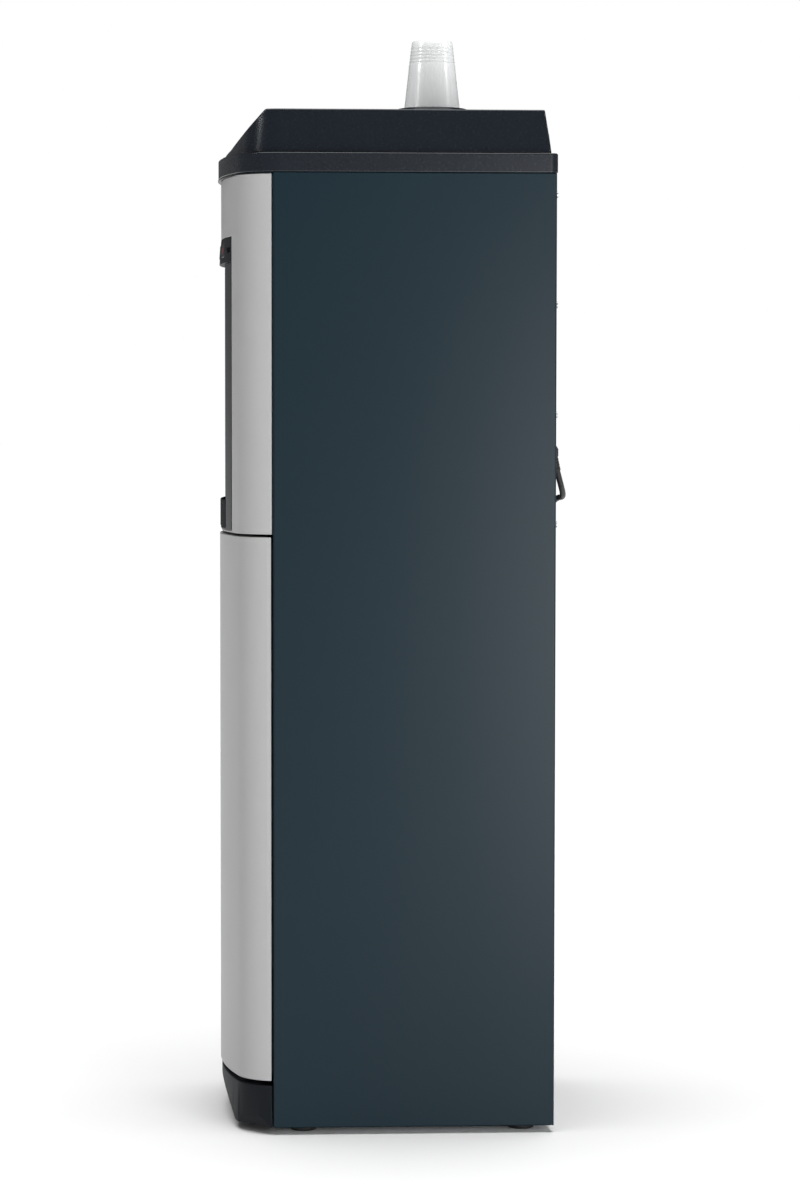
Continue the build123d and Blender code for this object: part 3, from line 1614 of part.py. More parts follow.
# plug at the end of the coiled lead, lying on the loops' upper layer
plug_w = 26.0
plug_h = 22.2
plug_body = 30.0
plug_nose = 15.0
plug_round = 4.0
plug_z = floor_z + loop_layer
plug_start = loop_path @ 1
nose_end = plug_start.Y + plug_nose
body_end = nose_end + plug_body
blade_w = 6.3
blade_t = 1.5
blade_length = 17.0
blade_apart = 6.35
blade_up = 2.5
ground_radius = 2.4
ground_length = 19.0
ground_down = 6.0
with BuildPart() as power_plug:
    with BuildSketch(Plane.XZ.offset(-plug_start.Y)):
        with Locations((plug_start.X, plug_z)):
            Circle(cord_radius + 1.5)
    with BuildSketch(Plane.XZ.offset(-nose_end)):
        with Locations((plug_start.X, plug_z)):
            RectangleRounded(plug_w, plug_h, plug_round)
    loft()
    with BuildSketch(Plane.XZ.offset(-body_end)) as plug_face:
        with Locations((plug_start.X, plug_z)):
            RectangleRounded(plug_w, plug_h, plug_round)
    extrude(amount=plug_body)
    for side in (-1, 1):
        x = plug_start.X + side * blade_apart
        block(
            (x - blade_t / 2, x + blade_t / 2),
            (body_end, body_end + blade_length),
            (plug_z + blade_up - blade_w / 2, plug_z + blade_up + blade_w / 2),
        )
    port(
        (plug_start.X, body_end, plug_z - ground_down),
        (plug_start.X, body_end + ground_length, plug_z - ground_down),
        ground_radius,
    )
export(power_plug, "power_plug")


# ------------------------------------------------------------- cord report
def least_gap(path, radius, samples):
    """Least gap of a coiled tube to itself, from points along its centre line."""
    points = [path.position_at(i / samples) for i in range(samples + 1)]
    step = (points[1] - points[0]).length
    apart = int(4 * radius / step) + 1
    gaps = [
        (far - near).length - 2 * radius
        for i, near in enumerate(points)
        for far in points[i + apart :]
    ]
    return min(gaps)


arcs = [round(arc, 1) for arc in corner_radii(cord_route)]
print("cord arc radii", arcs, "least", min(arcs))
print("cord length", round(cord_length, 1))
print("coil length", round(loop_path.length, 1))
print("coil least gap", round(least_gap(loop_path, cord_radius, 600), 3))
print("evaporator gap to itself", coil_pitch - 2 * coil_tube)
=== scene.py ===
"""Looks of the bottom load water cooler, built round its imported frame.

Sizes are in metres, Z up, with the front of the cooler facing -Y.
"""

import logging
import math
from collections.abc import Callable
from dataclasses import dataclass, field
from enum import Enum

import bmesh
import bpy
import numpy as np
from mathutils import Matrix, Vector

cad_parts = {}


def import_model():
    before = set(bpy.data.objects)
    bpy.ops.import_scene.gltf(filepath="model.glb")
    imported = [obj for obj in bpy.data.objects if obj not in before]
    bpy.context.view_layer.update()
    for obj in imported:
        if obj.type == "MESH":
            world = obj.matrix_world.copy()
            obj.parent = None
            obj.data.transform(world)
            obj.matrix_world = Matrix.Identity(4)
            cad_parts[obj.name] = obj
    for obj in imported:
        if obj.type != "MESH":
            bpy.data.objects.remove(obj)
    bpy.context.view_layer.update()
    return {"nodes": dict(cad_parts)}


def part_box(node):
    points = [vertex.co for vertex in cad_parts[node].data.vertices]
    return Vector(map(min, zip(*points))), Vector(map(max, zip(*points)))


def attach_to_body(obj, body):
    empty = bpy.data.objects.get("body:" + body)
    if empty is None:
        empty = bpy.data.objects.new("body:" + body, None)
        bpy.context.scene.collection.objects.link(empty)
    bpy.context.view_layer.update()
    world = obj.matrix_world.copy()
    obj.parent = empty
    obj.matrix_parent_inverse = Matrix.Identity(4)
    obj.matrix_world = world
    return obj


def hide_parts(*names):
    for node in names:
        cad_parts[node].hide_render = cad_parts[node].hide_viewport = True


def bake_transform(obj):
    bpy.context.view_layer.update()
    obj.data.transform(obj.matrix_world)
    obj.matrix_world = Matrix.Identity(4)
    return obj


LOG = logging.getLogger("cooler")

Colour = tuple[float, float, float]
Place = tuple[float, float, float]
Pair = tuple[float, float]
Faces = list[tuple[int, ...]]
Shape = tuple[np.ndarray, Faces]
Tree = bpy.types.NodeTree
Socket = bpy.types.NodeSocket

# The frame's own objects by node, filled by main.
NODES: dict[str, bpy.types.Object] = {}

FULL_TURN = 2.0 * math.pi
# The radius of the hole that a turned shape keeps on its axis.
PINHOLE = 0.0004

# What all finishes share.
COAT_ROUGHNESS = 0.08
LEAST_ROUGHNESS = 0.02
RELIEF_STRENGTH = 0.6
TONE_FROM = 0.30
TONE_TO = 0.70
SLOW_OCTAVES = 3.0
FINE_OCTAVES = 2.0

# The sockets of a Mix node that mixes colours.
MIX_SHARE = 0
MIX_UNDER = 6
MIX_OVER = 7
MIX_RESULT = 2

# What a rounded copy's mesh is cleaned to, and the angle from which its edges are rounded.
MERGE_WITHIN = 0.00002
FLAT_WITHIN = math.radians(0.4)
SHARP_FROM = math.radians(28.0)

# The angle in degrees from which an edge stays sharp, on turned, flowing and angular meshes.
TURNED_CREASE = 50.0
FLOWING_CREASE = 60.0
ANGULAR_CREASE = 35.0


class Texture(Enum):
    """The pattern of a finish's fine relief."""

    GRAINED = "grained"
    FOAMED = "foamed"


class Edge(Enum):
    """How a piece's outer edges are rounded: the width in metres and the segments across it."""

    LIP = (0.0003, 2)
    FASCIA = (0.0004, 2)
    FINE = (0.0005, 2)
    SMALL = (0.0006, 3)
    SHEET = (0.0007, 2)
    SOFT = (0.0008, 3)
    LINER = (0.0010, 2)
    FOLD = (0.0011, 3)
    MOULDED = (0.0012, 3)
    COVER = (0.0016, 4)


def make_once(label: str, colour: Colour, cover: float, fill: Callable[[Tree], None]) -> bpy.types.Material:
    """Gives a material by its label, and makes it at the first call.

    Its name differs from the record's slots, because the frame brings materials with those names.

    Args:
        label: what the finish is called.
        colour: the colour that a plain view shows.
        cover: how much of what is behind it a plain view hides.
        fill: adds the nodes to the new material's tree.
    Returns:
        The material.
    """
    name = label + "_look"
    if name not in bpy.data.materials:
        made = bpy.data.materials.new(name)
        made.use_nodes = True
        made.diffuse_color = (*colour, cover)
        fill(made.node_tree)
    return bpy.data.materials[name]


def add_noise(tree: Tree, place: Socket, size: float, octaves: float) -> Socket:
    """Adds a noise pattern.

    Args:
        tree: the material's nodes.
        place: the coordinates.
        size: the size of its swings, in metres.
        octaves: how many finer noises it holds.
    Returns:
        The socket with the noise, from 0 to 1.
    """
    node = tree.nodes.new("ShaderNodeTexNoise")
    node.inputs["Scale"].default_value = 1.0 / size
    node.inputs["Detail"].default_value = octaves
    tree.links.new(place, node.inputs["Vector"])
    return node.outputs["Fac"]


def add_cells(tree: Tree, place: Socket, size: float) -> Socket:
    """Adds the open cells of a foam.

    Args:
        tree: the material's nodes.
        place: the coordinates.
        size: the size of a cell, in metres.
    Returns:
        The socket with the distance to the nearest cell's middle.
    """
    node = tree.nodes.new("ShaderNodeTexVoronoi")
    node.inputs["Scale"].default_value = 1.0 / size
    tree.links.new(place, node.inputs["Vector"])
    return node.outputs["Distance"]


def add_tone(tree: Tree, share: Socket, low: tuple[float, Colour], high: tuple[float, Colour]) -> Socket:
    """Adds a ramp between two colours.

    Args:
        tree: the material's nodes.
        share: what the ramp follows, from 0 to 1.
        low: where the ramp starts, and its colour there.
        high: where the ramp ends, and its colour there.
    Returns:
        The socket with the colour.
    """
    node = tree.nodes.new("ShaderNodeValToRGB")
    for stop, (position, colour) in zip(node.color_ramp.elements, (low, high)):
        stop.position = position
        stop.color = (*colour, 1.0)
    tree.links.new(share, node.inputs["Fac"])
    return node.outputs["Color"]


def add_span(tree: Tree, share: Socket, start: float, end: float) -> Socket:
    """Adds a node that spreads 0 to 1 over a span of values.

    Args:
        tree: the material's nodes.
        share: the socket with 0 to 1.
        start: the value at 0.
        end: the value at 1.
    Returns:
        The socket with the value.
    """
    node = tree.nodes.new("ShaderNodeMapRange")
    node.inputs["To Min"].default_value = start
    node.inputs["To Max"].default_value = end
    tree.links.new(share, node.inputs["Value"])
    return node.outputs["Result"]


def add_relief(tree: Tree, height: Socket, strength: float, depth: float) -> Socket:
    """Adds a fine relief.

    Args:
        tree: the material's nodes.
        height: the pattern, from 0 to 1.
        strength: how much of it is felt.
        depth: its depth in metres.
    Returns:
        The socket with the tilted normals.
    """
    node = tree.nodes.new("ShaderNodeBump")
    node.inputs["Strength"].default_value = strength
    node.inputs["Distance"].default_value = depth
    tree.links.new(height, node.inputs["Height"])
    return node.outputs["Normal"]


@dataclass(frozen=True)
class Finish:
    """One finish: its colours, its gloss and the fine relief of its surface.

    grain is the size of the relief in metres, relief its depth, mottle the size of the slow
    change between colour and shade, and swing how far the roughness strays either way. A stretch
    above 1 packs the patterns closer along its axis.
    """

    label: str
    colour: Colour
    shade: Colour
    roughness: float
    texture: Texture = Texture.GRAINED
    metallic: float = 0.0
    coat: float = 0.0
    grain: float = 0.0012
    relief: float = 0.00002
    mottle: float = 0.12
    stretch: Place = (1.0, 1.0, 1.0)
    swing: float = 0.06
    specular: float = 0.5

    def material(self) -> bpy.types.Material:
        """Gives the material of this finish, made once."""
        return make_once(self.label, self.colour, 1.0, self.fill)

    def fill(self, tree: Tree) -> None:
        """Adds the nodes: noise on object coordinates for the tone, the gloss and the relief.

        Args:
            tree: the new material's nodes.
        """
        shader = tree.nodes["Principled BSDF"]
        shader.inputs["Metallic"].default_value = self.metallic
        shader.inputs["Coat Weight"].default_value = self.coat
        shader.inputs["Coat Roughness"].default_value = COAT_ROUGHNESS
        shader.inputs["Specular IOR Level"].default_value = self.specular
        mapping = tree.nodes.new("ShaderNodeMapping")
        mapping.inputs["Scale"].default_value = self.stretch
        tree.links.new(tree.nodes.new("ShaderNodeTexCoord").outputs["Object"], mapping.inputs["Vector"])
        place = mapping.outputs["Vector"]
        slow = add_noise(tree, place, self.mottle, SLOW_OCTAVES)
        if self.texture is Texture.FOAMED:
            fine = add_cells(tree, place, self.grain)
        else:
            fine = add_noise(tree, place, self.grain, FINE_OCTAVES)
        least = max(LEAST_ROUGHNESS, self.roughness - self.swing)
        most = min(1.0, self.roughness + self.swing)
        tone = add_tone(tree, slow, (TONE_FROM, self.shade), (TONE_TO, self.colour))
        tree.links.new(tone, shader.inputs["Base Color"])
        tree.links.new(add_span(tree, fine, least, most), shader.inputs["Roughness"])
        tree.links.new(add_relief(tree, fine, RELIEF_STRENGTH, self.relief), shader.inputs["Normal"])


@dataclass(frozen=True)
class ClearPlastic:
    """The thin frosted plastic of the cups, denser where it is seen edge on."""

    label: str = "cup_plastic"
    colour: Colour = (0.95, 0.96, 0.96)
    edge: Colour = (0.62, 0.64, 0.65)
    plain_cover: float = 0.6
    open_cover: float = 0.42
    edge_cover: float = 0.85
    roughness: float = 0.22
    edge_blend: float = 0.35
    tone_from: float = 0.10
    tone_to: float = 0.85
    frost: float = 0.002
    frost_depth: float = 0.00002
    frost_strength: float = 0.3

    def material(self) -> bpy.types.Material:
        """Gives the cups' material, made once."""
        return make_once(self.label, self.colour, self.plain_cover, self.fill)

    def fill(self, tree: Tree) -> None:
        """Adds the nodes: the cover and the tone follow the angle at which the surface is seen.

        Args:
            tree: the new material's nodes.
        """
        shader = tree.nodes["Principled BSDF"]
        shader.inputs["Roughness"].default_value = self.roughness
        weight = tree.nodes.new("ShaderNodeLayerWeight")
        weight.inputs["Blend"].default_value = self.edge_blend
        facing = weight.outputs["Facing"]
        tone = add_tone(tree, facing, (self.tone_from, self.colour), (self.tone_to, self.edge))
        tree.links.new(tone, shader.inputs["Base Color"])
        tree.links.new(add_span(tree, facing, self.open_cover, self.edge_cover), shader.inputs["Alpha"])
        place = tree.nodes.new("ShaderNodeTexCoord").outputs["Object"]
        frost = add_noise(tree, place, self.frost, FINE_OCTAVES)
        tilted = add_relief(tree, frost, self.frost_strength, self.frost_depth)
        tree.links.new(tilted, shader.inputs["Normal"])


@dataclass(frozen=True)
class ButtonFinish(Finish):
    """A dark push button with a round coloured mark in the middle of its face."""

    middle: Place = (0.0, 0.0, 0.0)
    mark: Colour = (1.0, 1.0, 1.0)
    mark_radius: float = 0.0033
    mark_blur: float = 0.0002

    def fill(self, tree: Tree) -> None:
        """Adds the nodes of the plastic, and the mark where X and Z lie within its radius.

        Args:
            tree: the new material's nodes.
        """
        super().fill(tree)
        shader = tree.nodes["Principled BSDF"]
        flat = tree.nodes.new("ShaderNodeMapping")
        flat.inputs["Location"].default_value = (-self.middle[0], 0.0, -self.middle[2])
        flat.inputs["Scale"].default_value = (1.0, 0.0, 1.0)
        tree.links.new(tree.nodes.new("ShaderNodeTexCoord").outputs["Object"], flat.inputs["Vector"])
        away = tree.nodes.new("ShaderNodeVectorMath")
        away.operation = "LENGTH"
        tree.links.new(flat.outputs["Vector"], away.inputs[0])
        inside = tree.nodes.new("ShaderNodeMapRange")
        inside.inputs["From Min"].default_value = self.mark_radius + self.mark_blur
        inside.inputs["From Max"].default_value = self.mark_radius - self.mark_blur
        tree.links.new(away.outputs["Value"], inside.inputs["Value"])
        laid_over = tree.nodes.new("ShaderNodeMix")
        laid_over.data_type = "RGBA"
        laid_over.inputs[MIX_OVER].default_value = (*self.mark, 1.0)
        tree.links.new(inside.outputs["Result"], laid_over.inputs[MIX_SHARE])
        tree.links.new(shader.inputs["Base Color"].links[0].from_socket, laid_over.inputs[MIX_UNDER])
        tree.links.new(laid_over.outputs[MIX_RESULT], shader.inputs["Base Color"])


@dataclass(frozen=True)
class Finishes:
    """Every finish of the cooler, named for what wears it."""

    side_paint: Finish = Finish(
        "side_paint", (0.0080, 0.0215, 0.0305), (0.0068, 0.0190, 0.0275), 0.33,
        specular=0.17, relief=0.000012, grain=0.0016, mottle=0.5, swing=0.03)
    silver: Finish = Finish(
        "front_silver", (0.45, 0.45, 0.45), (0.43, 0.43, 0.43), 0.40,
        specular=0.14, grain=0.0006, relief=0.000008, mottle=0.4)
    cover: Finish = Finish(
        "cover_plastic", (0.008, 0.012, 0.018), (0.007, 0.010, 0.015), 0.26,
        specular=0.4, grain=0.003, relief=0.000004)
    trim: Finish = Finish(
        "trim_plastic", (0.007, 0.010, 0.014), (0.006, 0.009, 0.012), 0.30, relief=0.00001, specular=0.14)
    fascia: Finish = Finish(
        "fascia_plastic", (0.012, 0.014, 0.018), (0.010, 0.012, 0.015), 0.45, specular=0.07)
    kick: Finish = Finish(
        "kick_plastic", (0.007, 0.009, 0.012), (0.006, 0.008, 0.010), 0.55, relief=0.00003, specular=0.14)
    alcove: Finish = Finish(
        "alcove_plastic", (0.014, 0.016, 0.019), (0.012, 0.014, 0.017), 0.42, specular=0.2)
    tray: Finish = Finish(
        "tray_plastic", (0.011, 0.013, 0.016), (0.009, 0.011, 0.014), 0.6, specular=0.03)
    liner: Finish = Finish(
        "liner_plastic", (0.10, 0.105, 0.11), (0.085, 0.09, 0.095), 0.5, relief=0.00005)
    white: Finish = Finish("white_plastic", (0.72, 0.73, 0.73), (0.66, 0.67, 0.67), 0.42)
    red_rocker: Finish = Finish(
        "red_rocker", (0.45, 0.012, 0.010), (0.38, 0.010, 0.008), 0.25, coat=0.3)
    green_rocker: Finish = Finish(
        "green_rocker", (0.010, 0.16, 0.04), (0.008, 0.13, 0.03), 0.25, coat=0.3)
    rubber: Finish = Finish(
        "rubber", (0.014, 0.014, 0.015), (0.010, 0.010, 0.011), 0.62, grain=0.0007, relief=0.00005)
    lead: Finish = Finish(
        "cord", (0.012, 0.012, 0.013), (0.009, 0.009, 0.010), 0.48, grain=0.0009, relief=0.00003)
    magnet: Finish = Finish("magnet", (0.022, 0.019, 0.018), (0.016, 0.014, 0.013), 0.7)
    steel: Finish = Finish(
        "steel", (0.60, 0.61, 0.62), (0.52, 0.53, 0.54), 0.30,
        metallic=1.0, grain=0.002, stretch=(1.0, 1.0, 14.0), swing=0.1)
    zinc: Finish = Finish(
        "zinc", (0.50, 0.52, 0.53), (0.40, 0.42, 0.43), 0.42, metallic=0.85, mottle=0.012)
    copper: Finish = Finish(
        "copper", (0.62, 0.27, 0.14), (0.46, 0.19, 0.10), 0.32, metallic=1.0, mottle=0.03)
    brass: Finish = Finish(
        "brass", (0.62, 0.46, 0.20), (0.54, 0.39, 0.16), 0.26, metallic=1.0, mottle=0.01)
    foam: Finish = Finish(
        "foam", (0.62, 0.60, 0.50), (0.54, 0.51, 0.41), 0.9, Texture.FOAMED, grain=0.004, relief=0.0006)
    hose: Finish = Finish("hose", (0.66, 0.68, 0.67), (0.60, 0.62, 0.61), 0.35)
    board: Finish = Finish(
        "board", (0.010, 0.10, 0.04), (0.008, 0.07, 0.03), 0.35, mottle=0.004, grain=0.0008)
    enamel: Finish = Finish(
        "black_paint", (0.010, 0.010, 0.011), (0.007, 0.007, 0.008), 0.34, relief=0.00003)
    floor: Finish = Finish(
        "floor_paint", (0.92, 0.92, 0.92), (0.91, 0.91, 0.91), 0.8, mottle=2.0, relief=0.00001)
    cups: ClearPlastic = ClearPlastic()


def link(name: str, data: bpy.types.ID) -> bpy.types.Object:
    """Puts new data in the scene.

    Args:
        name: the object's name.
        data: its mesh, curve, light or camera.
    Returns:
        The new object.
    """
    made = bpy.data.objects.new(name, data)
    bpy.context.scene.collection.objects.link(made)
    return made


def smooth(mesh: bpy.types.Mesh, sharp_from: float) -> None:
    """Shades a mesh smooth, apart from its sharp edges.

    Args:
        mesh: the mesh.
        sharp_from: the angle from which an edge stays sharp, in radians.
    """
    mesh.polygons.foreach_set("use_smooth", np.ones(len(mesh.polygons), bool))
    mesh.set_sharp_from_angle(angle=sharp_from)


def new_object(name: str, shape: Shape, finish: Finish | ClearPlastic, crease: float) -> bpy.types.Object:
    """Makes a smooth mesh object from its points and faces.

    Args:
        name: the object's name.
        shape: its points and faces, outward side counter-clockwise.
        finish: what it is dressed in.
        crease: edges sharper than this many degrees stay sharp.
    Returns:
        The new object.
    """
    points, faces = shape
    mesh = bpy.data.meshes.new(name)
    mesh.from_pydata(points.tolist(), [], faces)
    mesh.update()
    smooth(mesh, math.radians(crease))
    mesh.materials.append(finish.material())
    return link(name, mesh)


def attach(piece: bpy.types.Object, body: str, nodes: tuple[str, ...]) -> bpy.types.Object:
    """Lets a piece ride on its body and the solids it stands for.

    Args:
        piece: the object.
        body: the body it rides on.
        nodes: the solids it stands for.
    Returns:
        The same object.
    """
    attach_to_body(piece, body)
    if nodes:
        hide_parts(*nodes)
    LOG.info("%s rides on %s", piece.name, body)
    return piece


def round_off(node: str, edge: Edge, finish: Finish, body: str) -> bpy.types.Object:
    """Makes a copy of one node with rounded outer edges, which then stands for it.

    Args:
        node: the node's name.
        edge: how its edges are rounded.
        finish: what it is dressed in.
        body: the body it rides on.
    Returns:
        The new object.
    """
    mesh = NODES[node].data.copy()
    mesh.name = node + "_shell"
    work = bmesh.new()
    work.from_mesh(mesh)
    bmesh.ops.remove_doubles(work, verts=work.verts, dist=MERGE_WITHIN)
    bmesh.ops.dissolve_limit(work, angle_limit=FLAT_WITHIN, verts=work.verts, edges=work.edges)
    weight = work.edges.layers.float.new("bevel_weight_edge")
    for side in work.edges:
        if side.is_manifold and side.is_convex and side.calc_face_angle() > SHARP_FROM:
            side[weight] = 1.0
    work.to_mesh(mesh)
    work.free()
    mesh.materials.clear()
    mesh.materials.append(finish.material())
    mesh.polygons.foreach_set("material_index", np.zeros(len(mesh.polygons), np.int32))
    smooth(mesh, SHARP_FROM)
    shell = link(node + "_shell", mesh)
    bevel = shell.modifiers.new("rounded_edges", "BEVEL")
    bevel.width, bevel.segments = edge.value
    bevel.limit_method = "WEIGHT"
    bevel.use_clamp_overlap = False
    bevel.harden_normals = True
    return attach(shell, body, (node,))


def dress(nodes: dict[str, Finish]) -> None:
    """Puts a finish on nodes of the frame that keep their shape.

    Args:
        nodes: node names and their finishes.
    """
    for name, finish in nodes.items():
        mesh = NODES[name].data
        if not mesh.materials:
            mesh.materials.append(None)
        for slot in range(len(mesh.materials)):
            mesh.materials[slot] = finish.material()
        LOG.info("%s is dressed in %s", name, finish.label)


def grid_faces(rows: int, columns: int, closed: bool) -> Faces:
    """Numbers the quads of a grid of points.

    Quad (i, j) joins point i*columns+j and its neighbours in the next row and column.

    Args:
        rows: rings of points.
        columns: points in each ring.
        closed: whether the last row joins the first.
    Returns:
        The faces.
    """
    i, j = np.meshgrid(np.arange(rows if closed else rows - 1), np.arange(columns), indexing="ij")
    k, n = (i + 1) % rows, (j + 1) % columns
    quads = np.stack([i * columns + j, i * columns + n, k * columns + n, k * columns + j], -1)
    return [tuple(quad) for quad in quads.reshape(-1, 4).tolist()]


def lathe(profile: list[Pair], sides: int, middle: Pair) -> Shape:
    """Turns a closed profile about an upright axis.

    Point (i, j) is the middle plus (r_i cos a_j, r_i sin a_j), at z_i, with a_j = 2 pi j / sides.

    Args:
        profile: radius and height, with the outside from the bottom up, clear of the axis.
        sides: points in a ring.
        middle: where the axis stands.
    Returns:
        The points and the faces.
    """
    r, z = np.array(profile).T
    a = np.linspace(0.0, FULL_TURN, sides, endpoint=False)
    points = np.stack([middle[0] + np.outer(r, np.cos(a)), middle[1] + np.outer(r, np.sin(a)),
                       np.repeat(z[:, None], sides, 1)], -1)
    return points.reshape(-1, 3), grid_faces(len(r), sides, True)


def loft(rings: np.ndarray) -> Shape:
    """Skins a row of rings and closes both ends.

    Args:
        rings: an array of ring, point, and X, Y, Z, counter-clockwise about the way they run.
    Returns:
        The points and the faces.
    """
    count, sides, _ = rings.shape
    faces = grid_faces(count, sides, False)
    faces.append(tuple(range(sides))[::-1])
    faces.append(tuple(range((count - 1) * sides, count * sides)))
    return rings.reshape(-1, 3), faces


def join(shapes: list[Shape]) -> Shape:
    """Joins several shapes in one.

    Args:
        shapes: the points and faces of each.
    Returns:
        All points, and all faces with their numbers moved on past the points before them.
    """
    starts = np.cumsum([0] + [len(points) for points, _ in shapes]).tolist()
    faces = [tuple(start + k for k in face) for start, (_, some) in zip(starts, shapes) for face in some]
    return np.vstack([points for points, _ in shapes]), faces


def rounded_box(half_w: float, half_h: float, corner: float, steps: int) -> np.ndarray:
    """Works out a rounded rectangle, counter-clockwise.

    Each corner is its own centre plus corner times (cos a, sin a).

    Args:
        half_w: half its width.
        half_h: half its height.
        corner: the corner radius.
        steps: spans in each corner.
    Returns:
        An array of points in two columns.
    """
    a = np.linspace(0.0, math.pi / 2.0, steps + 1)
    turn = a[None, :] + np.arange(4)[:, None] * math.pi / 2.0
    sx, sy = np.array([1, -1, -1, 1])[:, None], np.array([1, 1, -1, -1])[:, None]
    x = sx * (half_w - corner) + corner * np.cos(turn)
    y = sy * (half_h - corner) + corner * np.sin(turn)
    return np.stack([x.ravel(), y.ravel()], -1)


@dataclass
class Assembly:
    """A sub-assembly, dressed in the cooler's finishes."""

    finishes: Finishes = field(default_factory=Finishes)

    def build(self) -> None:
        """Makes the sub-assembly's pieces, which each kind does in its own way."""
        raise NotImplementedError


@dataclass
class Studio(Assembly):
    """The camera, the lights and the pale floor."""

    lens: float = 104.63
    sensor: float = 36.0
    sight: float = 200.0
    position: Place = (3.8355, -0.1866, 0.7800)
    right: Place = (0.05385459, 0.99854818, 0.00110571)
    up: Place = (-0.05602642, 0.00191609, 0.99842745)
    forward: Place = (-0.99697579, 0.05383185, -0.05604827)
    floor_reach: float = 60.0
    room_light: float = 0.13
    sky_power: float = 3.35
    sky_spread: float = 60.0
    key_place: Place = (2.3, 1.02, 0.42)
    key_aim: Place = (0.15, 0.0, 0.55)
    key_size: float = 1.1
    key_power: float = 34.0
    cup_aim: Place = (0.0, 0.055, 1.145)
    cup_light_rear: Place = (0.7, 2.3, 2.2)
    cup_light_front: Place = (0.7, -2.2, 2.2)
    cup_light_power: float = 360.0
    cup_light_cone: float = 5.5
    cup_light_size: float = 0.15

    def camera(self) -> None:
        """Places the camera where the photograph was taken from."""
        data = bpy.data.cameras.new("photo_camera")
        data.lens = self.lens
        data.sensor_width = self.sensor
        data.sensor_fit = "AUTO"
        data.clip_end = self.sight
        camera = link("photo_camera", data)
        turn = Matrix((self.right, self.up, -Vector(self.forward))).transposed().to_4x4()
        camera.matrix_world = Matrix.Translation(self.position) @ turn
        bpy.context.scene.camera = camera

    def floor(self) -> None:
        """Lays the pale floor."""
        r = self.floor_reach
        mesh = bpy.data.meshes.new("studio_floor")
        mesh.from_pydata([(-r, -r, 0), (r, -r, 0), (r, r, 0), (-r, r, 0)], [], [(0, 1, 2, 3)])
        mesh.materials.append(self.finishes.floor.material())
        floor = link("studio_floor", mesh)

    def world(self) -> None:
        """Makes the backdrop: pure white where it is seen, and a dim room where it lights things."""
        world = bpy.data.worlds.new("studio_white")
        world.use_nodes = True
        tree = world.node_tree
        seen, room = tree.nodes["Background"], tree.nodes.new("ShaderNodeBackground")
        for light, strength in ((seen, 1.0), (room, self.room_light)):
            light.inputs["Color"].default_value = (1.0, 1.0, 1.0, 1.0)
            light.inputs["Strength"].default_value = strength
        pick = tree.nodes.new("ShaderNodeMixShader")
        path = tree.nodes.new("ShaderNodeLightPath")
        tree.links.new(path.outputs["Is Camera Ray"], pick.inputs["Fac"])
        tree.links.new(room.outputs["Background"], pick.inputs[1])
        tree.links.new(seen.outputs["Background"], pick.inputs[2])
        tree.links.new(pick.outputs["Shader"], tree.nodes["World Output"].inputs["Surface"])
        bpy.context.scene.world = world

    def hang(self, name: str, data: bpy.types.Light, place: Place, aim: Place) -> None:
        """Hangs a light and turns it to what it lights.

        Args:
            name: its name.
            data: the light.
            place: where it hangs.
            aim: what it faces.
        """
        lamp = link(name, data)
        lamp.location = place
        lamp.rotation_euler = (Vector(aim) - Vector(place)).to_track_quat("-Z", "Y").to_euler()

    def sky_light(self) -> None:
        """Adds the even soft light from overhead."""
        data = bpy.data.lights.new("sky_light", "SUN")
        data.energy = self.sky_power
        data.angle = math.radians(self.sky_spread)
        link("sky_light", data)

    def key_light(self) -> None:
        """Adds the soft square light whose reflection stands at the rear of the side panel."""
        data = bpy.data.lights.new("key_light", "AREA")
        data.shape = "RECTANGLE"
        data.size = data.size_y = self.key_size
        data.energy = self.key_power
        self.hang("key_light", data, self.key_place, self.key_aim)

    def cup_light(self, name: str, place: Place) -> None:
        """Adds a small soft light with a narrow cone, aimed at the cups.

        Args:
            name: its name.
            place: where it hangs.
        """
        data = bpy.data.lights.new(name, "SPOT")
        data.energy = self.cup_light_power
        data.spot_size = math.radians(self.cup_light_cone)
        data.spot_blend = 1.0
        data.shadow_soft_size = self.cup_light_size
        self.hang(name, data, place, self.cup_aim)

    def build(self) -> None:
        """Sets up the whole studio."""
        bpy.context.scene.view_settings.view_transform = "Standard"
        self.camera()
        self.floor()
        self.world()
        self.sky_light()
        self.key_light()
        self.cup_light("cup_light_rear", self.cup_light_rear)
        self.cup_light("cup_light_front", self.cup_light_front)


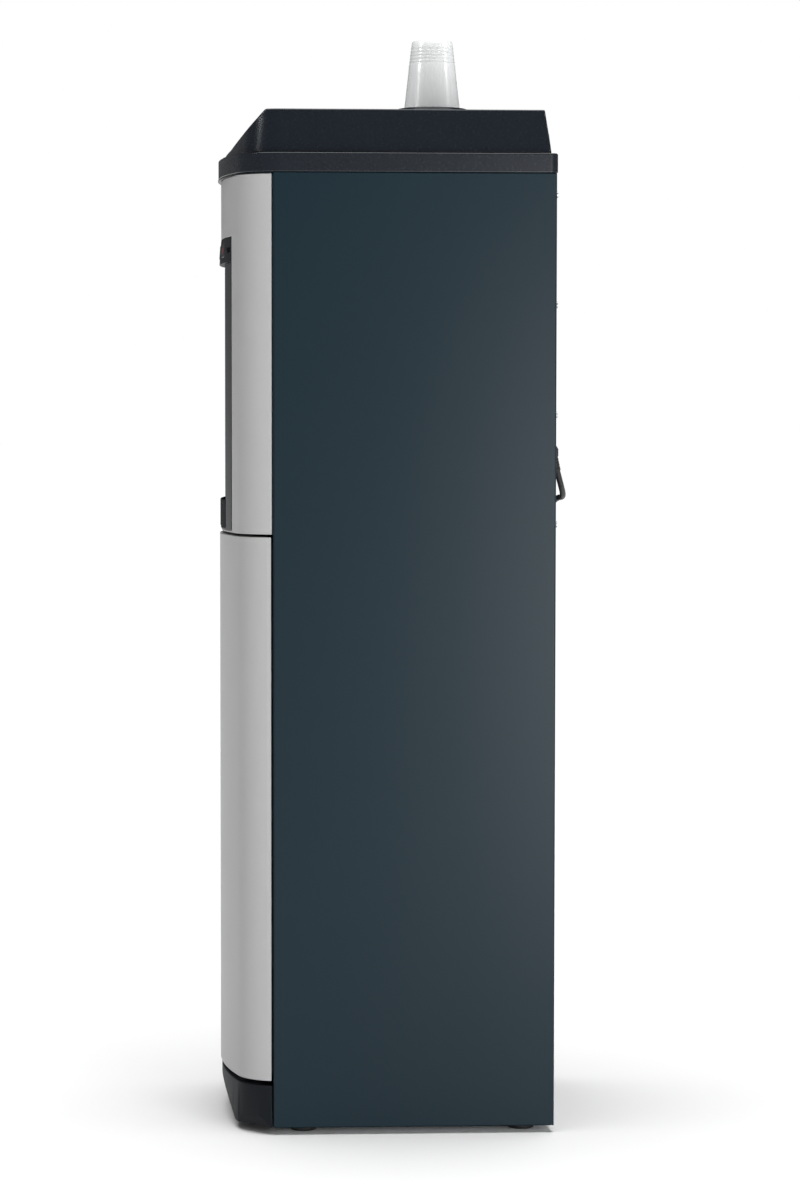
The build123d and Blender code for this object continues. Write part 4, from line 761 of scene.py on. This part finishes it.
@dataclass
class PowerLead(Assembly):
    """The free mains lead: its strain relief, its cord and its moulded plug.

    The coil's climb, from its lower layer to its upper one, is given in turns. Each of the plug's
    stations is a section: how far along the plug it stands, half its width and half its height.
    """

    radius: float = 0.00325
    length: float = 1.726
    exit: Place = (0.063248, 0.187852, 0.707767)
    route: tuple[Place, ...] = (
        (0.058247, 0.191082, 0.697348), (0.0504, 0.1941, 0.6887), (0.0405, 0.1965, 0.6825),
        (0.0291, 0.1977, 0.6788), (0.0163, 0.1973, 0.6773), (0.0016, 0.1944, 0.6764),
        (-0.013, 0.1888, 0.6696), (-0.0238, 0.184, 0.6561), (-0.0298, 0.183, 0.6328),
        (-0.028, 0.184, 0.597), (-0.030, 0.1835, 0.549), (-0.026, 0.1845, 0.494),
        (-0.030, 0.1835, 0.436), (-0.026, 0.1845, 0.378), (-0.029, 0.1835, 0.320),
        (-0.025, 0.1845, 0.262), (-0.029, 0.1835, 0.204), (-0.027, 0.1845, 0.150),
        (-0.0275, 0.1855, 0.106), (-0.033, 0.187, 0.070), (-0.047, 0.189, 0.039),
        (-0.069, 0.1905, 0.0165), (-0.093, 0.190, 0.0055), (-0.115, 0.192, 0.0034),
        (-0.137, 0.1935, 0.0034), (-0.1563, 0.1883, 0.0034), (-0.1723, 0.1763, 0.0034),
        (-0.1823, 0.159, 0.0034), (-0.1844, 0.134, 0.0034), (-0.185, 0.109, 0.0034))
    round_steps: int = 5
    curve_steps: int = 8
    coil_middle: Pair = (-0.226, 0.1025)
    coil_outer: float = 0.041
    coil_inner: float = 0.029
    coil_low: float = 0.0034
    coil_high: float = 0.0114
    coil_pitch: float = 0.008
    coil_turns: float = 3.5
    coil_steps: int = 16
    climb_from: float = 1.5
    climb_to: float = 2.0
    tail_start: float = 0.1115
    relief_root: Place = (0.072, 0.1822, 0.726)
    relief_radii: Pair = (0.005, 0.004)
    relief_rings: int = 31
    relief_sides: int = 36
    rib_rings: int = 5
    rib_width: int = 3
    ribbed: Pair = (0.15, 0.9)
    groove_depth: float = 0.0009
    plug_axis: Pair = (-0.267, 0.0114)
    plug_start: float = 0.1285
    plug_stations: tuple[Place, ...] = (
        (0.0, 0.0042, 0.0042), (0.0015, 0.0050, 0.0050), (0.006, 0.0056, 0.0054), (0.012, 0.0066, 0.0062),
        (0.015, 0.0086, 0.0078), (0.019, 0.0108, 0.0092), (0.024, 0.0106, 0.0090), (0.029, 0.0112, 0.0098),
        (0.034, 0.0118, 0.0104), (0.040, 0.0130, 0.0111), (0.0435, 0.0130, 0.0111), (0.045, 0.0122, 0.0104))
    plug_roundness: float = 0.62
    plug_corner_steps: int = 8
    blade_at: Pair = (0.00635, 0.003)
    blade_half: Pair = (0.00075, 0.00315)
    blade_reach: float = 0.017
    blade_corner: float = 0.0006
    earth_height: float = -0.0062
    earth_half: float = 0.0024
    earth_reach: float = 0.019
    earth_corner: float = 0.0023
    pin_sunk: float = 0.002
    pin_chamfer: float = 0.0012
    pin_tip: float = 0.55
    pin_corner_steps: int = 4

    def coil(self) -> np.ndarray:
        """Works out the points of the put-away coil.

        After t turns the radius is outer - pitch*t up to the climb, inner during it, and
        inner + pitch*(t - climb_to) after it, clockwise from +X.

        Returns:
            The points, one row each.
        """
        t = np.arange(1, round(self.coil_turns * self.coil_steps) + 1) / self.coil_steps
        r = np.select([t <= self.climb_from, t <= self.climb_to],
                      [self.coil_outer - self.coil_pitch * t, self.coil_inner],
                      self.coil_inner + self.coil_pitch * (t - self.climb_to))
        climbed = np.clip((t - self.climb_from) / (self.climb_to - self.climb_from), 0.0, 1.0)
        z = self.coil_low + (self.coil_high - self.coil_low) * climbed
        a = -FULL_TURN * t
        return np.stack([self.coil_middle[0] + r * np.cos(a), self.coil_middle[1] + r * np.sin(a), z], -1)

    def cord(self, on_it: list[bpy.types.Object]) -> None:
        """Lays the cord along its route, its coil and its last straight to the plug.

        Args:
            on_it: the relief at its exit and the plug's pieces at its far end. Not used.
        """
        tail = [(self.plug_axis[0], y, self.plug_axis[1]) for y in (self.tail_start, self.plug_start)]
        points = np.vstack([[self.exit], self.route, self.coil(), tail])
        curve = bpy.data.curves.new("mains_cord", "CURVE")
        curve.dimensions = "3D"
        curve.bevel_depth = self.radius
        curve.bevel_resolution = self.round_steps
        curve.use_fill_caps = True
        line = curve.splines.new("NURBS")
        line.points.add(len(points) - 1)
        line.points.foreach_set("co", np.hstack([points, np.ones((len(points), 1))]).ravel())
        line.order_u = 3
        line.use_endpoint_u = True
        line.resolution_u = self.curve_steps
        curve.materials.append(self.finishes.lead.material())
        cord = attach(link("mains_cord", curve), "cabinet", ("power_cord", "cord_coil"))

    def relief(self) -> bpy.types.Object:
        """Makes the tapered strain relief with its bending ribs.

        Ring i stands at root + s_i * (tip - root), with the radius of the taper, less the
        groove's depth on the rings between two ribs.

        Returns:
            The piece.
        """
        root, tip = np.array(self.relief_root), np.array(self.exit)
        length = np.linalg.norm(tip - root)
        axis = (tip - root) / length
        side = np.cross(axis, (1.0, 0.0, 0.0))
        side /= np.linalg.norm(side)
        other = np.cross(axis, side)
        s = np.linspace(0.0, 1.0, self.relief_rings)
        between_ribs = np.arange(self.relief_rings) % self.rib_rings >= self.rib_width
        grooved = between_ribs & (s > self.ribbed[0]) & (s < self.ribbed[1])
        wide, narrow = self.relief_radii
        r = wide + (narrow - wide) * s - self.groove_depth * grooved
        a = np.linspace(0.0, FULL_TURN, self.relief_sides, endpoint=False)
        ring = np.cos(a)[:, None] * side + np.sin(a)[:, None] * other
        rings = root + s[:, None, None] * length * axis + r[:, None, None] * ring
        piece = new_object("cord_relief", loft(rings), self.finishes.rubber, TURNED_CREASE)
        return attach(piece, "cabinet", ("strain_relief",))

    def section(self, along: float, flat: np.ndarray, x: float = 0.0, z: float = 0.0) -> np.ndarray:
        """Stands a flat outline across the plug's axis.

        Args:
            along: how far it stands past the plug's start.
            flat: the outline, in two columns.
            x: its place across the plug.
            z: its height above the plug's axis.
        Returns:
            The ring, one row of X, Y, Z per point.
        """
        y = np.full(len(flat), self.plug_start + along)
        return np.stack([self.plug_axis[0] + x - flat[:, 0], y, self.plug_axis[1] + z + flat[:, 1]], -1)

    def plug(self) -> bpy.types.Object:
        """Makes the plug's moulded body, with a neck, a waist for the fingers and a face.

        Returns:
            The piece.
        """
        rings = []
        for along, half_w, half_h in self.plug_stations:
            corner = min(half_w, half_h) * self.plug_roundness
            rings.append(self.section(along, rounded_box(half_w, half_h, corner, self.plug_corner_steps)))
        piece = new_object("mains_plug", loft(np.array(rings)), self.finishes.rubber, FLOWING_CREASE)
        return attach(piece, "cabinet", ("power_plug",))

    def pin(self, at: Pair, half: Pair, reach: float, corner: float) -> Shape:
        """Works out one pin, chamfered at its tip.

        Args:
            at: its place across the plug, and its height above the plug's axis.
            half: half its thickness and half its height.
            reach: its length.
            corner: its corner radius.
        Returns:
            The points and the faces.
        """
        face = self.plug_stations[-1][0]
        rings = []
        for step, share in ((-self.pin_sunk, 1.0), (reach - self.pin_chamfer, 1.0), (reach, self.pin_tip)):
            flat = rounded_box(half[0] * share, half[1] * share, corner * share, self.pin_corner_steps)
            rings.append(self.section(face + step, flat, *at))
        return loft(np.array(rings))

    def pins(self) -> bpy.types.Object:
        """Makes the two blades and the earth pin.

        Returns:
            The piece that holds all three.
        """
        x, z = self.blade_at
        blade = (self.blade_half, self.blade_reach, self.blade_corner)
        earth = ((self.earth_half, self.earth_half), self.earth_reach, self.earth_corner)
        shape = join([self.pin((-x, z), *blade), self.pin((x, z), *blade),
                      self.pin((0.0, self.earth_height), *earth)])
        piece = new_object("plug_pins", shape, self.finishes.brass, ANGULAR_CREASE)
        return attach(piece, "cabinet", ())

    def build(self) -> None:
        """Builds the lead from its relief to its plug."""
        self.cord([self.relief(), self.plug(), self.pins()])


@dataclass
class Cups(Assembly):
    """The nested drinking cups, closed ends up, and the uppermost one that lifts off first.

    The rim's outline is given out from the cup's radius there and up from its lowest point, the
    closed end's out from its radius and down from its top.
    """

    middle: Pair = (0.0, 0.055)
    top: float = 1.1755
    height: float = 0.095
    base_radius: float = 0.022
    taper: float = 0.115
    pitch: float = 0.0037
    wall: float = 0.00034
    count: int = 7
    sides: int = 96
    rim: tuple[Pair, ...] = (
        (0.0002, 0.0026), (0.0013, 0.0020), (0.0015, 0.0010), (0.0013, 0.0002), (0.0004, 0.0),
        (-0.0003, 0.0006))
    rim_height: float = 0.0030
    closed_end: tuple[Pair, ...] = (
        (-0.0022, 0.0029), (-0.0017, 0.0006), (-0.0009, 0.0), (-0.0002, 0.0005), (0.0001, 0.0016))
    closed_inside: Pair = (-0.0012, 0.0032)
    ridge: float = 0.0003
    ridges_from: float = 0.0060
    ridges_to: float = 0.0259
    ridge_rings: int = 37
    plain_rings: tuple[float, ...] = (0.035, 0.055, 0.075)

    def cup(self, number: int) -> Shape:
        """Works out one cup as a turned shell with a foot ring, stacking ridges and a rolled rim.

        At depth d below its closed end the radius is base + taper*d, plus near that end a ridge of
        (1/2 + cos(2 pi d / pitch)/2)^2, so that the ridges of nested cups fit in each other.

        Args:
            number: 0 for the uppermost, counted downwards.
        Returns:
            The points and the faces.
        """
        top = self.top - number * self.pitch
        low = top - self.height
        base, foot = self.base_radius, self.base_radius + self.taper * self.height
        d = np.linspace(self.ridges_from, self.ridges_to, self.ridge_rings)
        wave = self.ridge * (0.5 + 0.5 * np.cos(FULL_TURN * d / self.pitch)) ** 2
        r, z = base + self.taper * d + wave, top - d
        rim = [(foot + out, low + up) for out, up in self.rim] + [(foot - self.wall, low + self.rim_height)]
        inner_wall = list(zip((r - self.wall)[::-1], z[::-1]))
        inner_end = [(base + self.closed_inside[0], top - self.closed_inside[1])]
        inner_end += [(PINHOLE, top - self.closed_inside[1])]
        outer_end = [(PINHOLE, top - self.closed_end[0][1])]
        outer_end += [(base + out, top - down) for out, down in self.closed_end]
        outer_wall = list(zip(r, z)) + [(base + self.taper * e, top - e) for e in self.plain_rings]
        outline = rim + inner_wall + inner_end + outer_end + outer_wall
        return lathe(outline[::-1], self.sides, self.middle)

    def build(self) -> None:
        """Makes the uppermost cup and, as one piece, the stack below it."""
        clear = self.finishes.cups
        upper = new_object("upper_cup", self.cup(0), clear, FLOWING_CREASE)
        attach(upper, "top_cup", ("top_cup",))
        stack = join([self.cup(number) for number in range(1, self.count)])
        nested = new_object("nested_cups", stack, clear, FLOWING_CREASE)
        attach(nested, "cup_stack", ("cup_stack",))


@dataclass
class Cabinet(Assembly):
    """The painted shell, its base and the pieces that carry everything else."""

    foot_radius: float = 0.014
    foot_height: float = 0.008
    foot_top_edge: float = 0.001
    foot_sides: int = 48
    foot_low_edge: tuple[Pair, ...] = ((0.0018, 0.0), (0.0006, 0.0005), (0.0, 0.0018))
    feet_at: tuple[Pair, ...] = (
        (0.1235, -0.0895), (0.1235, 0.145), (-0.1235, -0.0895), (-0.1235, 0.145))

    def feet(self) -> None:
        """Turns the four rubber feet, each with a rounded lower edge."""
        r, h, edge = self.foot_radius, self.foot_height, self.foot_top_edge
        profile = [(PINHOLE, 0.0)] + [(r - inward, up) for inward, up in self.foot_low_edge]
        profile += [(r, h - edge), (r - edge, h), (PINHOLE, h)]
        shape = join([lathe(profile, self.foot_sides, middle) for middle in self.feet_at])
        feet = new_object("rubber_feet", shape, self.finishes.rubber, TURNED_CREASE)
        attach(feet, "cabinet", ("feet",))

    def build(self) -> None:
        """Makes the shell's rounded copies and dresses what keeps its shape."""
        f = self.finishes
        round_off("left_side_panel", Edge.FOLD, f.side_paint, "cabinet")
        round_off("right_side_panel", Edge.FOLD, f.side_paint, "cabinet")
        round_off("kick_plate", Edge.MOULDED, f.kick, "cabinet")
        self.feet()
        dress({"base_pan": f.zinc, "floor_tray": f.liner, "rear_screws": f.zinc, "mid_shelf": f.zinc,
               "lower_rear_panel": f.side_paint, "upper_rear_panel": f.side_paint,
               "hinge_brackets": f.zinc, "tank_shelf": f.zinc})


@dataclass
class Door(Assembly):
    """The silver door of the bottle compartment."""

    def build(self) -> None:
        """Makes the door's rounded copies and dresses what keeps its shape."""
        f = self.finishes
        round_off("door_skin", Edge.SHEET, f.silver, "door")
        round_off("door_end_caps", Edge.MOULDED, f.silver, "door")
        round_off("door_liner", Edge.LINER, f.liner, "door")
        dress({"door_gasket": f.rubber, "door_magnets": f.magnet})


@dataclass
class DispensingFront(Assembly):
    """The upper front: its silver panel, the alcove, the buttons, the nozzles and the drip tray."""

    cold_mark: Colour = (0.02, 0.10, 0.42)
    room_mark: Colour = (0.36, 0.38, 0.39)
    hot_mark: Colour = (0.48, 0.02, 0.015)
    button_roughness: float = 0.34
    button_specular: float = 0.35

    def button(self, name: str, mark: Colour, slot: str) -> None:
        """Makes one push button, which rides on the body of its own name.

        Args:
            name: the button's name.
            mark: the colour of its mark.
            slot: the record's material slot. Not used.
        """
        low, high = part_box(name)
        plastic = self.finishes.trim
        face = ButtonFinish(name, plastic.colour, plastic.shade, self.button_roughness,
                            specular=self.button_specular, middle=tuple((low + high) / 2.0), mark=mark)
        round_off(name, Edge.SOFT, face, name)

    def build(self) -> None:
        """Makes the front's rounded copies and dresses what keeps its shape."""
        f = self.finishes
        round_off("front_panel", Edge.SHEET, f.silver, "cabinet")
        round_off("dispensing_alcove", Edge.MOULDED, f.alcove, "cabinet")
        round_off("control_fascia", Edge.FASCIA, f.fascia, "cabinet")
        self.button("cold_button", self.cold_mark, "blue_button")
        self.button("room_button", self.room_mark, "grey_button")
        self.button("hot_button", self.hot_mark, "red_button")
        round_off("child_lock", Edge.SMALL, f.trim, "child_lock")
        round_off("drip_tray", Edge.MOULDED, f.tray, "drip_tray")
        round_off("drip_grille", Edge.FINE, f.tray, "drip_grille")
        dress({"nozzles": f.white, "control_board": f.board})


@dataclass
class TopCover(Assembly):
    """The gloss top cover with its trim lip and the well that holds the cups."""

    def build(self) -> None:
        """Makes the cover's rounded copies."""
        f = self.finishes
        round_off("top_cover", Edge.COVER, f.cover, "cabinet")
        round_off("cover_trim", Edge.LIP, f.trim, "cabinet")
        round_off("cup_well", Edge.SOFT, f.trim, "cabinet")


@dataclass
class WaterSide(Assembly):
    """Tanks, pump, hoses, probe and drain."""

    hose_wall: float = 0.0015
    hose_rings: int = 24
    hose_sides: int = 40

    def probe_hose(self) -> None:
        """Makes the probe's short hose.

        Both walls are rings at evenly spaced heights, so that each height can move by itself.
        """
        low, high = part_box("probe_hose")
        middle = (low + high) / 2.0
        radius = (high.x - low.x) / 2.0
        z = np.linspace(low.z, high.z, self.hose_rings)
        outline = [(radius, h) for h in z] + [(radius - self.hose_wall, h) for h in z[::-1]]
        shape = lathe(outline, self.hose_sides, (middle.x, middle.y))
        hose = new_object("supply_hose", shape, self.finishes.hose, TURNED_CREASE)
        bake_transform(hose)
        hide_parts("probe_hose")
        LOG.info("%s bends between bottle_probe and cabinet", hose.name)

    def build(self) -> None:
        """Makes the probe's hose and dresses the rest, which keeps its shapes."""
        f = self.finishes
        self.probe_hose()
        dress({"cold_tank": f.steel, "tank_insulation": f.foam, "hot_tank": f.steel,
               "hot_tank_jacket": f.foam, "water_pump": f.white, "water_lines": f.hose,
               "drain_fitting": f.white, "drain_cap": f.white, "probe_holder": f.liner,
               "bottle_probe": f.white})


@dataclass
class CoolingSide(Assembly):
    """Compressor, condenser and refrigerant lines."""

    def build(self) -> None:
        """Dresses the cooling side, which keeps its shapes."""
        f = self.finishes
        dress({"compressor": f.enamel, "compressor_grommets": f.rubber, "condenser_tube": f.enamel,
               "condenser_wires": f.enamel, "condenser_brackets": f.enamel, "filter_drier": f.copper,
               "refrigerant_lines": f.copper, "evaporator_coil": f.copper})


@dataclass
class RearFittings(Assembly):
    """The rocker switches and the cord gland in the rear panel."""

    def build(self) -> None:
        """Makes the switches' rounded copies and dresses the gland."""
        f = self.finishes
        round_off("switch_bezels", Edge.FINE, f.trim, "cabinet")
        round_off("hot_switch", Edge.SMALL, f.red_rocker, "hot_switch")
        round_off("cold_switch", Edge.SMALL, f.green_rocker, "cold_switch")
        dress({"cord_gland": f.rubber})


def main() -> None:
    logging.basicConfig(level=logging.INFO, format="%(name)s: %(message)s")
    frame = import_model()
    NODES.update(frame["nodes"])
    for assembly in (Studio(), PowerLead(), Cabinet(), Door(), DispensingFront(), TopCover(), Cups(),
                     WaterSide(), CoolingSide(), RearFittings()):
        LOG.info("building %s", type(assembly).__name__)
        assembly.build()


if __name__ == "__main__":
    main()
